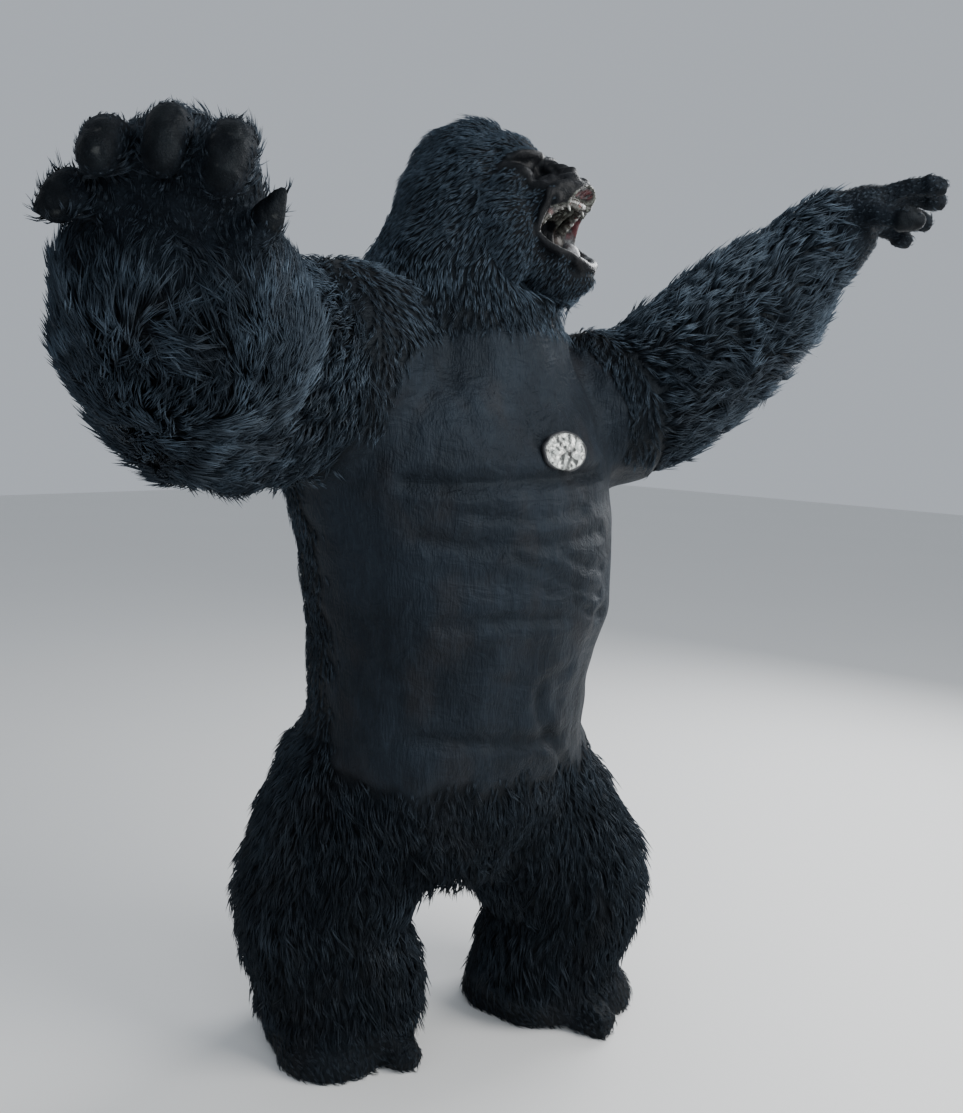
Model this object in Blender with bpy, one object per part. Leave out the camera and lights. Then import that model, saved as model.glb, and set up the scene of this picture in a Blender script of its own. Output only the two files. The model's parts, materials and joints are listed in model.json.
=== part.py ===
"""Gorilla costume, standing with raised arms and an open, roaring mask.

The suit is built as one padded body, filled out as if worn, and then parted with
thin cuts into the pieces a person would name. It faces -Y, its own left is +X,
and it stands on the soles of its feet at z = 0. The origin is on the floor under the
middle of the whole, so the finished pieces are moved there last.
"""

from math import cos, pi, radians, sin

import bmesh
import bpy
import numpy as np
from mathutils import Euler, Matrix, Vector

# ---------------------------------------------------------------- driving sizes (metres)
GAP = 0.0003                 # left between neighbouring pieces
VOXEL = 0.008                # grain of the padded body before it is thinned
COAT_TRIANGLES = 1700        # over the coat, after thinning
DETAIL_TRIANGLES = 1400      # over the face, hands and feet
BELLY_TOP = 1.130
BELLY_BOTTOM = 0.760
MASK_DEPTH = 0.070           # of the cut behind the mask, ahead of the head's centre
HAND_START = {"right": -0.010, "left": -0.030}
FINGER_START = {"right": 0.70, "left": 1.0}    # of the cut, from the knuckle to the middle joint
SLEEVE_START = {"right": (-0.415, 0.025, 1.510), "left": (0.412, -0.040, 1.500)}
SLEEVE_FACING = {"right": (-1.0, -0.15, 0.05), "left": (1.0, -0.35, 0.40)}
GROIN = (0.210, 0.050, 0.570)   # middle of the cut that frees a thigh, out from the centre
GROIN_SLOPE = 0.95

# trunk: half width, half depth and centre (x, y) of its section at each height
TRUNK_LEAN = (-0.010, 0.050)
TRUNK = (
    # height, half width, half depth, shift x, shift y
    (0.40, 0.240, 0.190, 0.000, 0.025),
    (0.52, 0.315, 0.255, 0.000, 0.015),
    (0.62, 0.338, 0.285, 0.000, 0.000),
    (0.72, 0.327, 0.288, -0.006, -0.008),
    (0.85, 0.333, 0.294, 0.000, -0.012),
    (1.00, 0.364, 0.312, 0.020, -0.018),
    (1.15, 0.385, 0.314, 0.016, -0.016),
    (1.30, 0.402, 0.305, -0.006, -0.008),
    (1.43, 0.395, 0.280, -0.010, 0.000),
    (1.54, 0.330, 0.235, 0.005, 0.015),
)

# limbs: joint places, then the half thickness at each
SHOULDER = {"right": (-0.310, 0.050, 1.530), "left": (0.290, 0.040, 1.395)}
ELBOW = {"right": (-0.640, -0.035, 1.470), "left": (0.668, -0.240, 1.680)}
WRIST = {"right": (-0.828, -0.226, 1.655), "left": (0.815, -0.395, 1.903)}
SHOULDER_RADIUS = {"right": 0.215, "left": 0.170}
UPPER_ARM_RADIUS = {"right": 0.215, "left": 0.184}
UPPER_ARM_SAG = {"right": 0.000, "left": 0.050}
ELBOW_RADIUS = {"right": 0.193, "left": 0.172}
FOREARM_RADIUS = {"right": 0.217, "left": 0.130}
WRIST_RADIUS = {"right": 0.176, "left": 0.097}

HIP = {"right": (-0.179, 0.099, 0.620), "left": (0.138, 0.028, 0.620)}
KNEE = {"right": (-0.265, 0.170, 0.340), "left": (0.290, -0.062, 0.320)}
ANKLE = {"right": (-0.212, 0.160, 0.120), "left": (0.262, -0.022, 0.110)}
CUFF_ROUND = 0.30            # how far the coat's cuff rounds over the hand, as a share of its radius
HIP_RADIUS = 0.220
THIGH_RADIUS = 0.218
KNEE_RADIUS = 0.200
SHIN_RADIUS = {"right": 0.196, "left": 0.185}
ANKLE_RADIUS = {"right": 0.200, "left": 0.186}

FOOT_TURN = {"right": -42.0, "left": 46.0}   # degrees outward from straight ahead, + to its left
FOOT_LENGTH = 0.400
FOOT_WIDTH = 0.250
FOOT_HEIGHT = 0.105
FOOT_FORWARD = 0.015         # of the foot's middle, ahead of the ankle
BIG_TOE_RADIUS = 0.052
# the big toe from root to tip: shares of the foot's half width and half length, height, thickness
BIG_TOE = ((0.55, 0.10, 0.045, 1.00), (0.98, 0.34, 0.040, 1.00), (1.22, 0.56, 0.036, 0.92))
SOLE_LEVEL = 0.003           # where the padded feet are cut flat

HEAD_CENTRE = (0.028, 0.010, 1.872)
HEAD_YAW = 22.0              # degrees, to its left
HEAD_PITCH = 20.0            # degrees, chin up

EYE_RADIUS = 0.018
EYE_PLACE = (0.047, -0.136, 0.020)   # in the head frame, out from the middle
TEETH = 14
FANG = 4
TOOTH_LENGTH = 0.015
FANG_LENGTH = 0.027
GUM_RADIUS = 0.0105
# half of each tooth row, from its middle back, in the head frame
ARCH_UPPER = ((0.000, -0.206, -0.094), (0.036, -0.198, -0.090),
              (0.056, -0.170, -0.098), (0.062, -0.134, -0.112))
ARCH_LOWER = ((0.000, -0.168, -0.200), (0.032, -0.161, -0.195),
              (0.052, -0.136, -0.181), (0.058, -0.106, -0.166))

DISC_PLACE = (0.036, -0.257, 1.360)
DISC_FACING = (0.03, -1.0, 0.14)
DISC_HALF = (0.060, 0.044)           # across and up
DISC_THICKNESS = 0.006


# ---------------------------------------------------------------- scene and materials
def clear_scene():
    for item in list(bpy.data.objects):
        bpy.data.objects.remove(item, do_unlink=True)


def plain_material(name, colour, roughness, metallic=0.0):
    material = bpy.data.materials.new(name)
    material.use_nodes = True
    shader = material.node_tree.nodes["Principled BSDF"]
    shader.inputs["Base Color"].default_value = (*colour, 1.0)
    shader.inputs["Roughness"].default_value = roughness
    shader.inputs["Metallic"].default_value = metallic
    return material


def add_object(name, mesh):
    thing = bpy.data.objects.new(name, mesh)
    bpy.context.scene.collection.objects.link(thing)
    return thing


# ---------------------------------------------------------------- rounded building shapes
def smooth_path(points, steps=6):
    """Points on a smooth curve through the given ones, each a tuple of numbers."""
    given = [np.array(p, float) for p in points]
    ends = [2 * given[0] - given[1], *given, 2 * given[-1] - given[-2]]
    out = []
    for i in range(1, len(ends) - 2):
        a, b, c, d = ends[i - 1:i + 3]
        for k in range(steps):
            t = k / steps
            out.append(0.5 * (2 * b + (c - a) * t + (2 * a - 5 * b + 4 * c - d) * t ** 2
                              + (3 * b - a - 3 * c + d) * t ** 3))
    out.append(given[-1])
    return out


def skin_rings(bm, rings):
    """Closed surface through rings of points, each end drawn to its own middle."""
    made = [[bm.verts.new(p) for p in ring] for ring in rings]
    count = len(made[0])
    for low, high in zip(made, made[1:]):
        for i in range(count):
            j = (i + 1) % count
            bm.faces.new((low[i], low[j], high[j], high[i]))
    bm.faces.new(list(reversed(made[0])))
    bm.faces.new(made[-1])


def limb(bm, stations, sides=24, end_round=1.0):
    """Round limb through stations of (x, y, z, radius), with rounded ends, the last flatter if asked."""
    path = smooth_path(stations)
    places = [Vector(p[:3]) for p in path]
    radii = [p[3] for p in path]
    ahead = [(places[min(i + 1, len(places) - 1)] - places[max(i - 1, 0)]).normalized()
             for i in range(len(places))]
    side = ahead[0].orthogonal().normalized()
    sections = []
    for place, radius, direction in zip(places, radii, ahead):
        side = (side - direction * side.dot(direction)).normalized()
        sections.append((place, radius, direction, side.copy()))
    rounds = 5
    first, last = sections[0], sections[-1]
    start = [(first[0] - first[2] * first[1] * sin(a), first[1] * cos(a), first[2], first[3])
             for a in (pi / 2 * (rounds - k) / (rounds + 0.3) for k in range(rounds))]
    finish = [(last[0] + last[2] * last[1] * sin(a) * end_round, last[1] * cos(a), last[2], last[3])
              for a in (pi / 2 * (k + 1) / (rounds + 0.3) for k in range(rounds))]
    rings = []
    for place, radius, direction, across in start + sections + finish:
        other = direction.cross(across)
        rings.append([place + (across * cos(t) + other * sin(t)) * radius
                      for t in (2 * pi * i / sides for i in range(sides))])
    skin_rings(bm, rings)


def ellipsoid(bm, centre, radii, placing=Matrix.Identity(4), turn=(0, 0, 0)):
    """Egg shape: radii along its own axes, turned by degrees about them, then placed."""
    angles = Euler([radians(a) for a in turn])
    shape = angles.to_matrix().to_4x4() @ Matrix.Diagonal((*radii, 1))
    matrix = placing @ Matrix.Translation(centre) @ shape
    bmesh.ops.create_uvsphere(bm, u_segments=32, v_segments=20, radius=1.0, matrix=matrix)


def trunk(bm):
    """Elliptical sections up the middle of the body."""
    levels = smooth_path(TRUNK)
    rings = []
    for height, wide, deep, dx, dy in levels:
        rings.append([Vector((TRUNK_LEAN[0] + dx + wide * cos(t), TRUNK_LEAN[1] + dy + deep * sin(t), height))
                      for t in (2 * pi * i / 40 for i in range(40))])
    skin_rings(bm, rings)


# ---------------------------------------------------------------- frames that parts sit in
def head_frame():
    turn = Matrix.Rotation(radians(HEAD_YAW), 4, "Z") @ Matrix.Rotation(-radians(HEAD_PITCH), 4, "X")
    return Matrix.Translation(HEAD_CENTRE) @ turn


def foot_frame(side):
    """Origin on the floor under the foot's middle, -Y towards the toes."""
    ankle = Vector(ANKLE[side])
    turn = Matrix.Rotation(radians(FOOT_TURN[side]), 4, "Z")
    toes = turn @ Vector((0, -1, 0))
    middle = Vector((ankle.x, ankle.y, 0)) + toes * FOOT_FORWARD
    return Matrix.Translation(middle) @ turn


def frame_from(origin, along, palm):
    """Hand frame: +Y from wrist to fingers, +Z out of the palm, +X across."""
    y = Vector(along).normalized()
    z = Vector(palm)
    z = (z - y * z.dot(y)).normalized()
    x = y.cross(z)
    turn = Matrix((x, y, z)).transposed().to_4x4()
    return Matrix.Translation(origin) @ turn


# each raised hand: where its wrist is, where its fingers point and where its palm faces
HAND_FRAME = {
    "right": frame_from((-0.808, -0.235, 1.645), (-0.08, -0.18, 1.0), (-0.66, -0.74, 0.05)),
    "left": frame_from((0.808, -0.388, 1.906), (0.745, -0.655, 0.19), (-0.25, -0.30, -1.0)),
}
# each finger: places (across towards the thumb, along, out of the palm) and half thickness
FINGERS = {
    "right": {
        "little": ((-0.085, 0.080, 0.010, 0.037), (-0.118, 0.102, 0.040, 0.036),
                   (-0.138, 0.104, 0.072, 0.034), (-0.150, 0.084, 0.095, 0.031)),
        "ring": ((-0.050, 0.115, 0.015, 0.036), (-0.068, 0.166, 0.030, 0.036),
                 (-0.078, 0.180, 0.085, 0.035), (-0.078, 0.156, 0.125, 0.033)),
        "middle": ((0.006, 0.125, 0.015, 0.035), (0.008, 0.191, 0.025, 0.034),
                   (0.009, 0.203, 0.080, 0.034), (0.009, 0.160, 0.115, 0.031)),
        "index": ((0.062, 0.115, 0.015, 0.038), (0.088, 0.176, 0.028, 0.038),
                  (0.098, 0.186, 0.080, 0.037), (0.095, 0.144, 0.112, 0.034)),
        "thumb": ((0.090, 0.040, 0.020, 0.038), (0.124, 0.062, 0.035, 0.032),
                  (0.148, 0.094, 0.042, 0.024), (0.164, 0.126, 0.045, 0.012)),
    },
    "left": {
        "little": ((0.062, 0.070, 0.000, 0.025), (0.084, 0.112, 0.004, 0.024),
                   (0.102, 0.148, 0.016, 0.023), (0.110, 0.172, 0.030, 0.019)),
        "ring": ((0.024, 0.080, -0.004, 0.027), (0.034, 0.128, -0.002, 0.025),
                 (0.040, 0.170, 0.010, 0.024), (0.042, 0.198, 0.026, 0.020)),
        "middle": ((-0.018, 0.080, -0.006, 0.027), (-0.022, 0.134, -0.006, 0.026),
                   (-0.024, 0.182, 0.002, 0.025), (-0.025, 0.212, 0.014, 0.020)),
        "index": ((-0.060, 0.075, -0.004, 0.027), (-0.078, 0.124, -0.004, 0.026),
                  (-0.088, 0.164, 0.004, 0.025), (-0.092, 0.192, 0.014, 0.020)),
        "thumb": ((-0.066, 0.010, 0.024, 0.034), (-0.094, 0.042, 0.056, 0.030),
                  (-0.106, 0.078, 0.080, 0.027), (-0.108, 0.112, 0.092, 0.021)),
    },
}
PALM = {
    # centre and half sizes in the hand frame
    "right": ((0.000, 0.094, -0.018), (0.135, 0.142, 0.072)),
    "left": ((0.000, 0.035, 0.000), (0.098, 0.095, 0.056)),
}


# ---------------------------------------------------------------- the padded body
def arms_and_legs(bm):
    for side in ("right", "left"):
        shoulder, elbow, wrist = (Vector(p[side]) for p in (SHOULDER, ELBOW, WRIST))
        limb(bm, [
            (*shoulder, SHOULDER_RADIUS[side]),
            (*(shoulder.lerp(elbow, 0.5) - Vector((0, 0, UPPER_ARM_SAG[side]))), UPPER_ARM_RADIUS[side]),
            (*elbow, ELBOW_RADIUS[side]),
            (*elbow.lerp(wrist, 0.5), FOREARM_RADIUS[side]),
            (*wrist, WRIST_RADIUS[side]),
        ], sides=32, end_round=CUFF_ROUND)
        hip, knee, ankle = (Vector(p[side]) for p in (HIP, KNEE, ANKLE))
        limb(bm, [
            (*hip, HIP_RADIUS),
            (*hip.lerp(knee, 0.55), THIGH_RADIUS),
            (*knee, KNEE_RADIUS),
            (*knee.lerp(ankle, 0.6), SHIN_RADIUS[side]),
            (*ankle, ANKLE_RADIUS[side]),
        ], sides=32)


def hands(bm):
    for side in ("right", "left"):
        frame = HAND_FRAME[side]
        centre, half = PALM[side]
        ellipsoid(bm, centre, half, frame)
        for stations in FINGERS[side].values():
            limb(bm, [(*(frame @ Vector(s[:3])), s[3]) for s in stations], sides=16)


def big_toe_line(side):
    inner = 1 if side == "right" else -1
    return [(inner * across * FOOT_WIDTH / 2, -along * FOOT_LENGTH / 2, height, share * BIG_TOE_RADIUS)
            for across, along, height, share in BIG_TOE]


def feet(bm):
    for side in ("right", "left"):
        frame = foot_frame(side)
        inner = 1 if side == "right" else -1
        half, wide, tall = FOOT_LENGTH / 2, FOOT_WIDTH / 2, FOOT_HEIGHT
        ellipsoid(bm, (-0.010 * inner, -half * 0.42, 0.030), (wide, half * 0.60, tall * 0.80), frame)
        ellipsoid(bm, (0, half * 0.36, 0.035), (wide * 0.86, half * 0.74, tall), frame)
        limb(bm, placed(frame, big_toe_line(side)), sides=16)


def neck_and_head(bm):
    frame = head_frame()
    limb(bm, [(0.0, 0.060, 1.50, 0.270), (0.0, 0.055, 1.62, 0.245), (0.005, 0.045, 1.74, 0.215),
              (0.014, 0.040, 1.84, 0.172)], sides=32)
    ellipsoid(bm, (0.340, -0.030, 1.550), (0.100, 0.100, 0.100))                 # top of the raised shoulder
    ellipsoid(bm, (0, 0.000, 0.010), (0.151, 0.152, 0.155), frame)
    ellipsoid(bm, (0, 0.058, 0.020), (0.138, 0.120, 0.140), frame)
    # crest of the crown, forehead, muzzle, lower jaw and chin
    ellipsoid(bm, (0, 0.015, 0.106), (0.084, 0.128, 0.098), frame, (12, 0, 0))
    ellipsoid(bm, (0, -0.097, 0.065), (0.095, 0.066, 0.058), frame, (30, 0, 0))
    ellipsoid(bm, (0, -0.172, -0.056), (0.080, 0.084, 0.046), frame, (22, 0, 0))
    ellipsoid(bm, (0, -0.110, -0.213), (0.080, 0.094, 0.050), frame, (20, 0, 0))
    ellipsoid(bm, (0, -0.134, -0.243), (0.054, 0.046, 0.038), frame)
    # bridge of the nose
    limb(bm, placed(frame, ((0, -0.150, 0.024, 0.023), (0, -0.182, -0.003, 0.021),
                            (0, -0.209, -0.029, 0.025))), sides=16)
    # brow, cheekbone, cheek fur, side of the muzzle, nostril wing and mouth corner
    for hand in (-1, 1):
        ellipsoid(bm, (hand * 0.050, -0.140, 0.042), (0.060, 0.034, 0.022), frame, (0, 0, 16 * hand))
        ellipsoid(bm, (hand * 0.086, -0.108, -0.014), (0.046, 0.052, 0.040), frame)
        ellipsoid(bm, (hand * 0.098, -0.055, -0.100), (0.062, 0.095, 0.120), frame)
        ellipsoid(bm, (hand * 0.067, -0.138, -0.062), (0.040, 0.070, 0.042), frame, (12, 0, 0))
        ellipsoid(bm, (hand * 0.028, -0.213, -0.041), (0.022, 0.024, 0.018), frame)
        ellipsoid(bm, (hand * 0.080, -0.112, -0.146), (0.030, 0.048, 0.080), frame, (-12, 0, 0))
    for lip in (LIP_UPPER, LIP_LOWER):
        limb(bm, placed(frame, [(*p, LIP_RADIUS) for p in mirrored_line(lip)]), sides=16)


# half of each lip, from its middle to the corner of the mouth, in the head frame
LIP_RADIUS = 0.019
MOUTH_CORNER = (0.084, -0.148, -0.134)
LIP_UPPER = ((0.000, -0.232, -0.078), (0.045, -0.228, -0.068), (0.078, -0.196, -0.086), MOUTH_CORNER)
LIP_LOWER = ((0.000, -0.190, -0.216), (0.040, -0.188, -0.206), (0.068, -0.174, -0.178), MOUTH_CORNER)


def mirrored_line(half):
    """The whole line from its half: over to the other side and back through the middle."""
    return [(-x, y, z) for x, y, z in reversed(half)][:-1] + list(half)


def placed(frame, stations):
    return [(*(frame @ Vector(s[:3])), s[3]) for s in stations]


def mouth_hollow(bm):
    frame = head_frame()
    ellipsoid(bm, (0, -0.188, -0.141), (0.079, 0.086, 0.056), frame, (22, 0, 0))


def mesh_from(build):
    bm = bmesh.new()
    build(bm)
    bmesh.ops.recalc_face_normals(bm, faces=bm.faces)
    mesh = bpy.data.meshes.new(build.__name__)
    bm.to_mesh(mesh)
    bm.free()
    return mesh


def applied(thing):
    """The object's mesh with its modifiers worked in."""
    graph = bpy.context.evaluated_depsgraph_get()
    return bpy.data.meshes.new_from_object(thing.evaluated_get(graph))


def remeshed(mesh, voxel, rounds):
    thing = add_object("blank", mesh)
    melt = thing.modifiers.new("melt", "REMESH")
    melt.mode = "VOXEL"
    melt.voxel_size = voxel
    ease = thing.modifiers.new("ease", "SMOOTH")
    ease.factor = 0.5
    ease.iterations = rounds
    result = applied(thing)
    bpy.data.objects.remove(thing, do_unlink=True)
    return result


def cut_away(mesh, cutter_mesh):
    """The first mesh with the second taken out of it."""
    thing = add_object("blank", mesh)
    cutter = add_object("cutter", cutter_mesh)
    cut = thing.modifiers.new("cut", "BOOLEAN")
    cut.operation = "DIFFERENCE"
    cut.solver = "EXACT"
    cut.object = cutter
    result = applied(thing)
    bpy.data.objects.remove(thing, do_unlink=True)
    bpy.data.objects.remove(cutter, do_unlink=True)
    return result


def whole_body():
    """The padded body in one piece, fine enough for the face and the fingers."""
    def everything(bm):
        trunk(bm)
        arms_and_legs(bm)
        hands(bm)
        feet(bm)
        neck_and_head(bm)

    body = remeshed(mesh_from(everything), VOXEL, 6)
    body = cut_away(body, mesh_from(mouth_hollow))
    return cut_level(thinned(cut_level(body, 0.0)), SOLE_LEVEL)


def cut_level(mesh, level):
    """Everything below one level taken off, leaving a flat sole under each foot, all in triangles."""
    bm = bmesh.new()
    bm.from_mesh(mesh)
    whole = bm.verts[:] + bm.edges[:] + bm.faces[:]
    cut = bmesh.ops.bisect_plane(bm, geom=whole, plane_co=(0, 0, level), plane_no=(0, 0, 1),
                                 dist=1e-5, clear_inner=True)
    rim = [item for item in cut["geom_cut"] if isinstance(item, bmesh.types.BMEdge)]
    bmesh.ops.holes_fill(bm, edges=rim, sides=0)
    bmesh.ops.triangulate(bm, faces=bm.faces)
    bm.to_mesh(mesh)
    bm.free()
    return mesh


def detail_centres():
    """Places that keep a finer surface, with their reach: face, hands and feet."""
    head = head_frame()
    centres = [(head @ Vector((0, -0.150, -0.080)), 0.185)]
    for side in ("right", "left"):
        centres.append((HAND_FRAME[side] @ Vector((0, 0.130, 0.050)), 0.180))
        centres.append((foot_frame(side) @ Vector((0, -0.120, 0.030)), 0.150))
    return centres


def thinned(mesh):
    """Fewer triangles: first over the coat, then over the finer face, hands and feet."""
    for name, keep_detail in (("coat", True), ("detail", False)):
        places = np.empty(len(mesh.vertices) * 3)
        mesh.vertices.foreach_get("co", places)
        places = places.reshape(-1, 3)
        fine = np.zeros(len(places), bool)
        for centre, reach in detail_centres():
            fine |= np.linalg.norm(places - np.array(centre), axis=1) < reach
        corners = np.array([polygon.vertices[:] for polygon in mesh.polygons])
        fine_faces = int(fine[corners].all(axis=1).sum())
        target = fine_faces + COAT_TRIANGLES if keep_detail else COAT_TRIANGLES + DETAIL_TRIANGLES
        thing = add_object("blank", mesh)
        group = thing.vertex_groups.new(name=name)
        group.add(np.nonzero(fine != keep_detail)[0].tolist(), 1.0, "REPLACE")
        thin = thing.modifiers.new("thin", "DECIMATE")
        thin.ratio = target / len(mesh.polygons)
        thin.vertex_group = group.name
        mesh = applied(thing)
        bpy.data.objects.remove(thing, do_unlink=True)
    return mesh


# ---------------------------------------------------------------- parting the body into its pieces
def island_of(vertex):
    found = {vertex}
    queue = [vertex]
    while queue:
        for edge in queue.pop().link_edges:
            for other in edge.verts:
                if other not in found:
                    found.add(other)
                    queue.append(other)
    return found


def ring_across(bm, place, facing):
    """The closed ring of faces that a plane crosses, the one nearest to the given place."""
    height = {v: (v.co - place).dot(facing) for v in bm.verts}
    crossed = [f for f in bm.faces if min(height[v] for v in f.verts) < 0 < max(height[v] for v in f.verts)]
    queue = [min(crossed, key=lambda f: (f.calc_center_median() - place).length)]
    ring = set(queue)
    while queue:
        for edge in queue.pop().edges:
            if height[edge.verts[0]] * height[edge.verts[1]] >= 0:
                continue
            for face in edge.link_faces:
                if face not in ring:
                    ring.add(face)
                    queue.append(face)
    return ring


def split_off(bm, place, facing):
    """Cuts one piece at a plane and returns the part that lies ahead of it.

    Both cut faces are closed flat, and stand half the gap back from the plane.
    """
    place, facing = Vector(place), Vector(facing).normalized()
    ring = ring_across(bm, place, facing)
    geometry = set(ring)
    for face in ring:
        geometry.update(face.edges)
        geometry.update(face.verts)
    cut = bmesh.ops.bisect_plane(bm, geom=list(geometry), plane_co=place, plane_no=facing, dist=1e-6)
    line = [item for item in cut["geom_cut"] if isinstance(item, bmesh.types.BMEdge)]
    bmesh.ops.split_edges(bm, edges=line)
    for vertex in {v for e in bm.edges if e.is_boundary for v in e.verts}:
        middle = sum(((f.calc_center_median() - place).dot(facing) for f in vertex.link_faces))
        vertex.co += facing * (GAP / 2 if middle > 0 else -GAP / 2)
    bmesh.ops.holes_fill(bm, edges=[e for e in bm.edges if e.is_boundary], sides=0)
    bmesh.ops.triangulate(bm, faces=[f for f in bm.faces if len(f.verts) > 3])
    bm.verts.ensure_lookup_table()
    islands = []
    left = set(bm.verts)
    while left:
        island = island_of(next(iter(left)))
        left -= island
        islands.append(island)
    if len(islands) != 2:
        raise RuntimeError(f"a cut at {tuple(place)} left {len(islands)} pieces")

    def ahead(island):
        return sum((v.co - place).dot(facing) for v in island) / len(island)

    behind, front = sorted(islands, key=ahead)
    new = bm.copy()
    new.verts.ensure_lookup_table()
    bm.verts.index_update()
    front_index = {v.index for v in front}
    bmesh.ops.delete(bm, geom=list(front), context="VERTS")
    bmesh.ops.delete(new, geom=[v for v in new.verts if v.index not in front_index], context="VERTS")
    return new


def part_body(mesh):
    """Pieces by name, each a closed bmesh."""
    pieces = {"trunk": bmesh.new()}
    pieces["trunk"].from_mesh(mesh)

    def cut(source, name, place, facing):
        pieces[name] = split_off(pieces[source], place, facing)

    for side in ("right", "left"):
        shoulder, elbow, wrist = (Vector(p[side]) for p in (SHOULDER, ELBOW, WRIST))
        hip, knee, ankle = (Vector(p[side]) for p in (HIP, KNEE, ANKLE))
        cut("trunk", "upper_arm_" + side, SLEEVE_START[side], SLEEVE_FACING[side])
        cut("upper_arm_" + side, "forearm_" + side, elbow, (elbow - shoulder).normalized()
            + (wrist - elbow).normalized())
        frame = HAND_FRAME[side]
        along = frame.to_3x3() @ Vector((0, 1, 0))
        cut("forearm_" + side, "hand_" + side, frame @ Vector((0, HAND_START[side], 0)), along)
        for finger, stations in FINGERS[side].items():
            knuckle, middle = (frame @ Vector(s[:3]) for s in stations[1:3])
            start = knuckle.lerp(middle, FINGER_START[side])
            cut("hand_" + side, finger + "_" + side, start, middle - knuckle)
        outward = -1 if side == "right" else 1
        groin = Vector((outward * GROIN[0], GROIN[1], GROIN[2]))
        cut("trunk", "thigh_" + side, groin, (outward * GROIN_SLOPE, 0, -1))
        cut("thigh_" + side, "shin_" + side, knee, ankle - hip)
        cut("shin_" + side, "foot_" + side, ankle + Vector((0, 0, -0.015)), (0, 0, -1))
        root, *_, tip = (Vector(p[:3]) for p in placed(foot_frame(side), big_toe_line(side)))
        cut("foot_" + side, "big_toe_" + side, tip, (tip.x - root.x, tip.y - root.y, 0))
    head = head_frame()
    ahead = head.to_3x3() @ Vector((0, -1, 0))
    cut("trunk", "neck", (0, 0.050, 1.600), (0.45, 0, 1))
    cut("neck", "head", (0.010, 0.050, 1.770), Vector((0, 0, 1)) + ahead * 0.45)
    cut("head", "face_mask", head @ Vector((0, -MASK_DEPTH, 0)), ahead)
    cut("face_mask", "jaw", head @ Vector(MOUTH_CORNER), head.to_3x3() @ Vector((0, 0.25, -1)))
    cut("trunk", "chest", (0, 0.050, BELLY_TOP), (0, 0, 1))
    cut("trunk", "belly", (0, 0.050, BELLY_BOTTOM), (0, 0, 1))
    pieces["pelvis"] = pieces.pop("trunk")
    return pieces


# ---------------------------------------------------------------- set-in pieces
def solid_from(build, voxel, triangles):
    """Rounded solid melted together from overlapping shapes."""
    mesh = remeshed(mesh_from(build), voxel, 2)
    thing = add_object("blank", mesh)
    thin = thing.modifiers.new("thin", "DECIMATE")
    thin.ratio = triangles / (2 * len(mesh.polygons))
    result = applied(thing)
    bpy.data.objects.remove(thing, do_unlink=True)
    return result


def grown(mesh, by):
    """A copy pushed out along its normals, to cut a seat with."""
    bm = bmesh.new()
    bm.from_mesh(mesh)
    bm.normal_update()
    shifts = {v: v.normal * by for v in bm.verts}
    for vertex, shift in shifts.items():
        vertex.co += shift
    out = bpy.data.meshes.new("grown")
    bm.to_mesh(out)
    bm.free()
    return out


def teeth(bm, half_arch, point):
    """Gum along an arch with its teeth: the fourth from the middle on each side is the long one."""
    frame = head_frame()
    arch = smooth_path(mirrored_line(half_arch), steps=6)
    limb(bm, placed(frame, [(*p, GUM_RADIUS) for p in arch[::3] + [arch[-1]]]), sides=12)
    lengths = np.cumsum([0.0] + [float(np.linalg.norm(b - a)) for a, b in zip(arch, arch[1:])])
    for i in range(TEETH):
        along = lengths[-1] * (0.06 + 0.88 * i / (TEETH - 1))
        place = [np.interp(along, lengths, [p[k] for p in arch]) for k in range(3)]
        long = i in (FANG, TEETH - 1 - FANG)
        reach = (FANG_LENGTH if long else TOOTH_LENGTH) / 2
        place[2] += point * reach
        ellipsoid(bm, place, (0.0078, 0.0070, reach * 1.25), frame)


def upper_teeth(bm):
    teeth(bm, ARCH_UPPER, -1)


def lower_teeth(bm):
    teeth(bm, ARCH_LOWER, 1)


def tongue(bm):
    frame = head_frame()
    ellipsoid(bm, (0, -0.115, -0.174), (0.034, 0.036, 0.014), frame, (24, 0, 0))
    ellipsoid(bm, (0, -0.129, -0.181), (0.026, 0.020, 0.011), frame, (24, 0, 0))


def eye(side):
    def ball(bm):
        outward = -1 if side == "right" else 1
        centre = head_frame() @ Vector((outward * EYE_PLACE[0], EYE_PLACE[1], EYE_PLACE[2]))
        place = Matrix.Translation(centre)
        bmesh.ops.create_icosphere(bm, subdivisions=2, radius=EYE_RADIUS, matrix=place)
    return ball


def chest_disc(bm):
    """Clear oval window sewn on the breast, a shallow dome on a flat back."""
    facing = Vector(DISC_FACING).normalized()
    turn = facing.to_track_quat("Z", "Y").to_matrix().to_4x4()
    frame = Matrix.Translation(DISC_PLACE) @ turn
    rings = []
    for radius, height in ((0.960, -1.0), (1.0, -0.7), (1.0, 0.35), (0.93, 0.70), (0.60, 1.0)):
        rings.append([frame @ Vector((cos(t) * radius * DISC_HALF[0], sin(t) * radius * DISC_HALF[1],
                                      height * DISC_THICKNESS))
                      for t in (2 * pi * i / 16 for i in range(16))])
    skin_rings(bm, rings)


# ---------------------------------------------------------------- the costume
PIECE_FINISH = {
    "face_mask": "mask_rubber", "jaw": "mask_rubber",
    "hand": "black_plush", "little": "black_plush", "ring": "black_plush", "middle": "black_plush",
    "index": "black_plush", "thumb": "black_plush", "foot": "black_plush", "big_toe": "black_plush",
}


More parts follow.
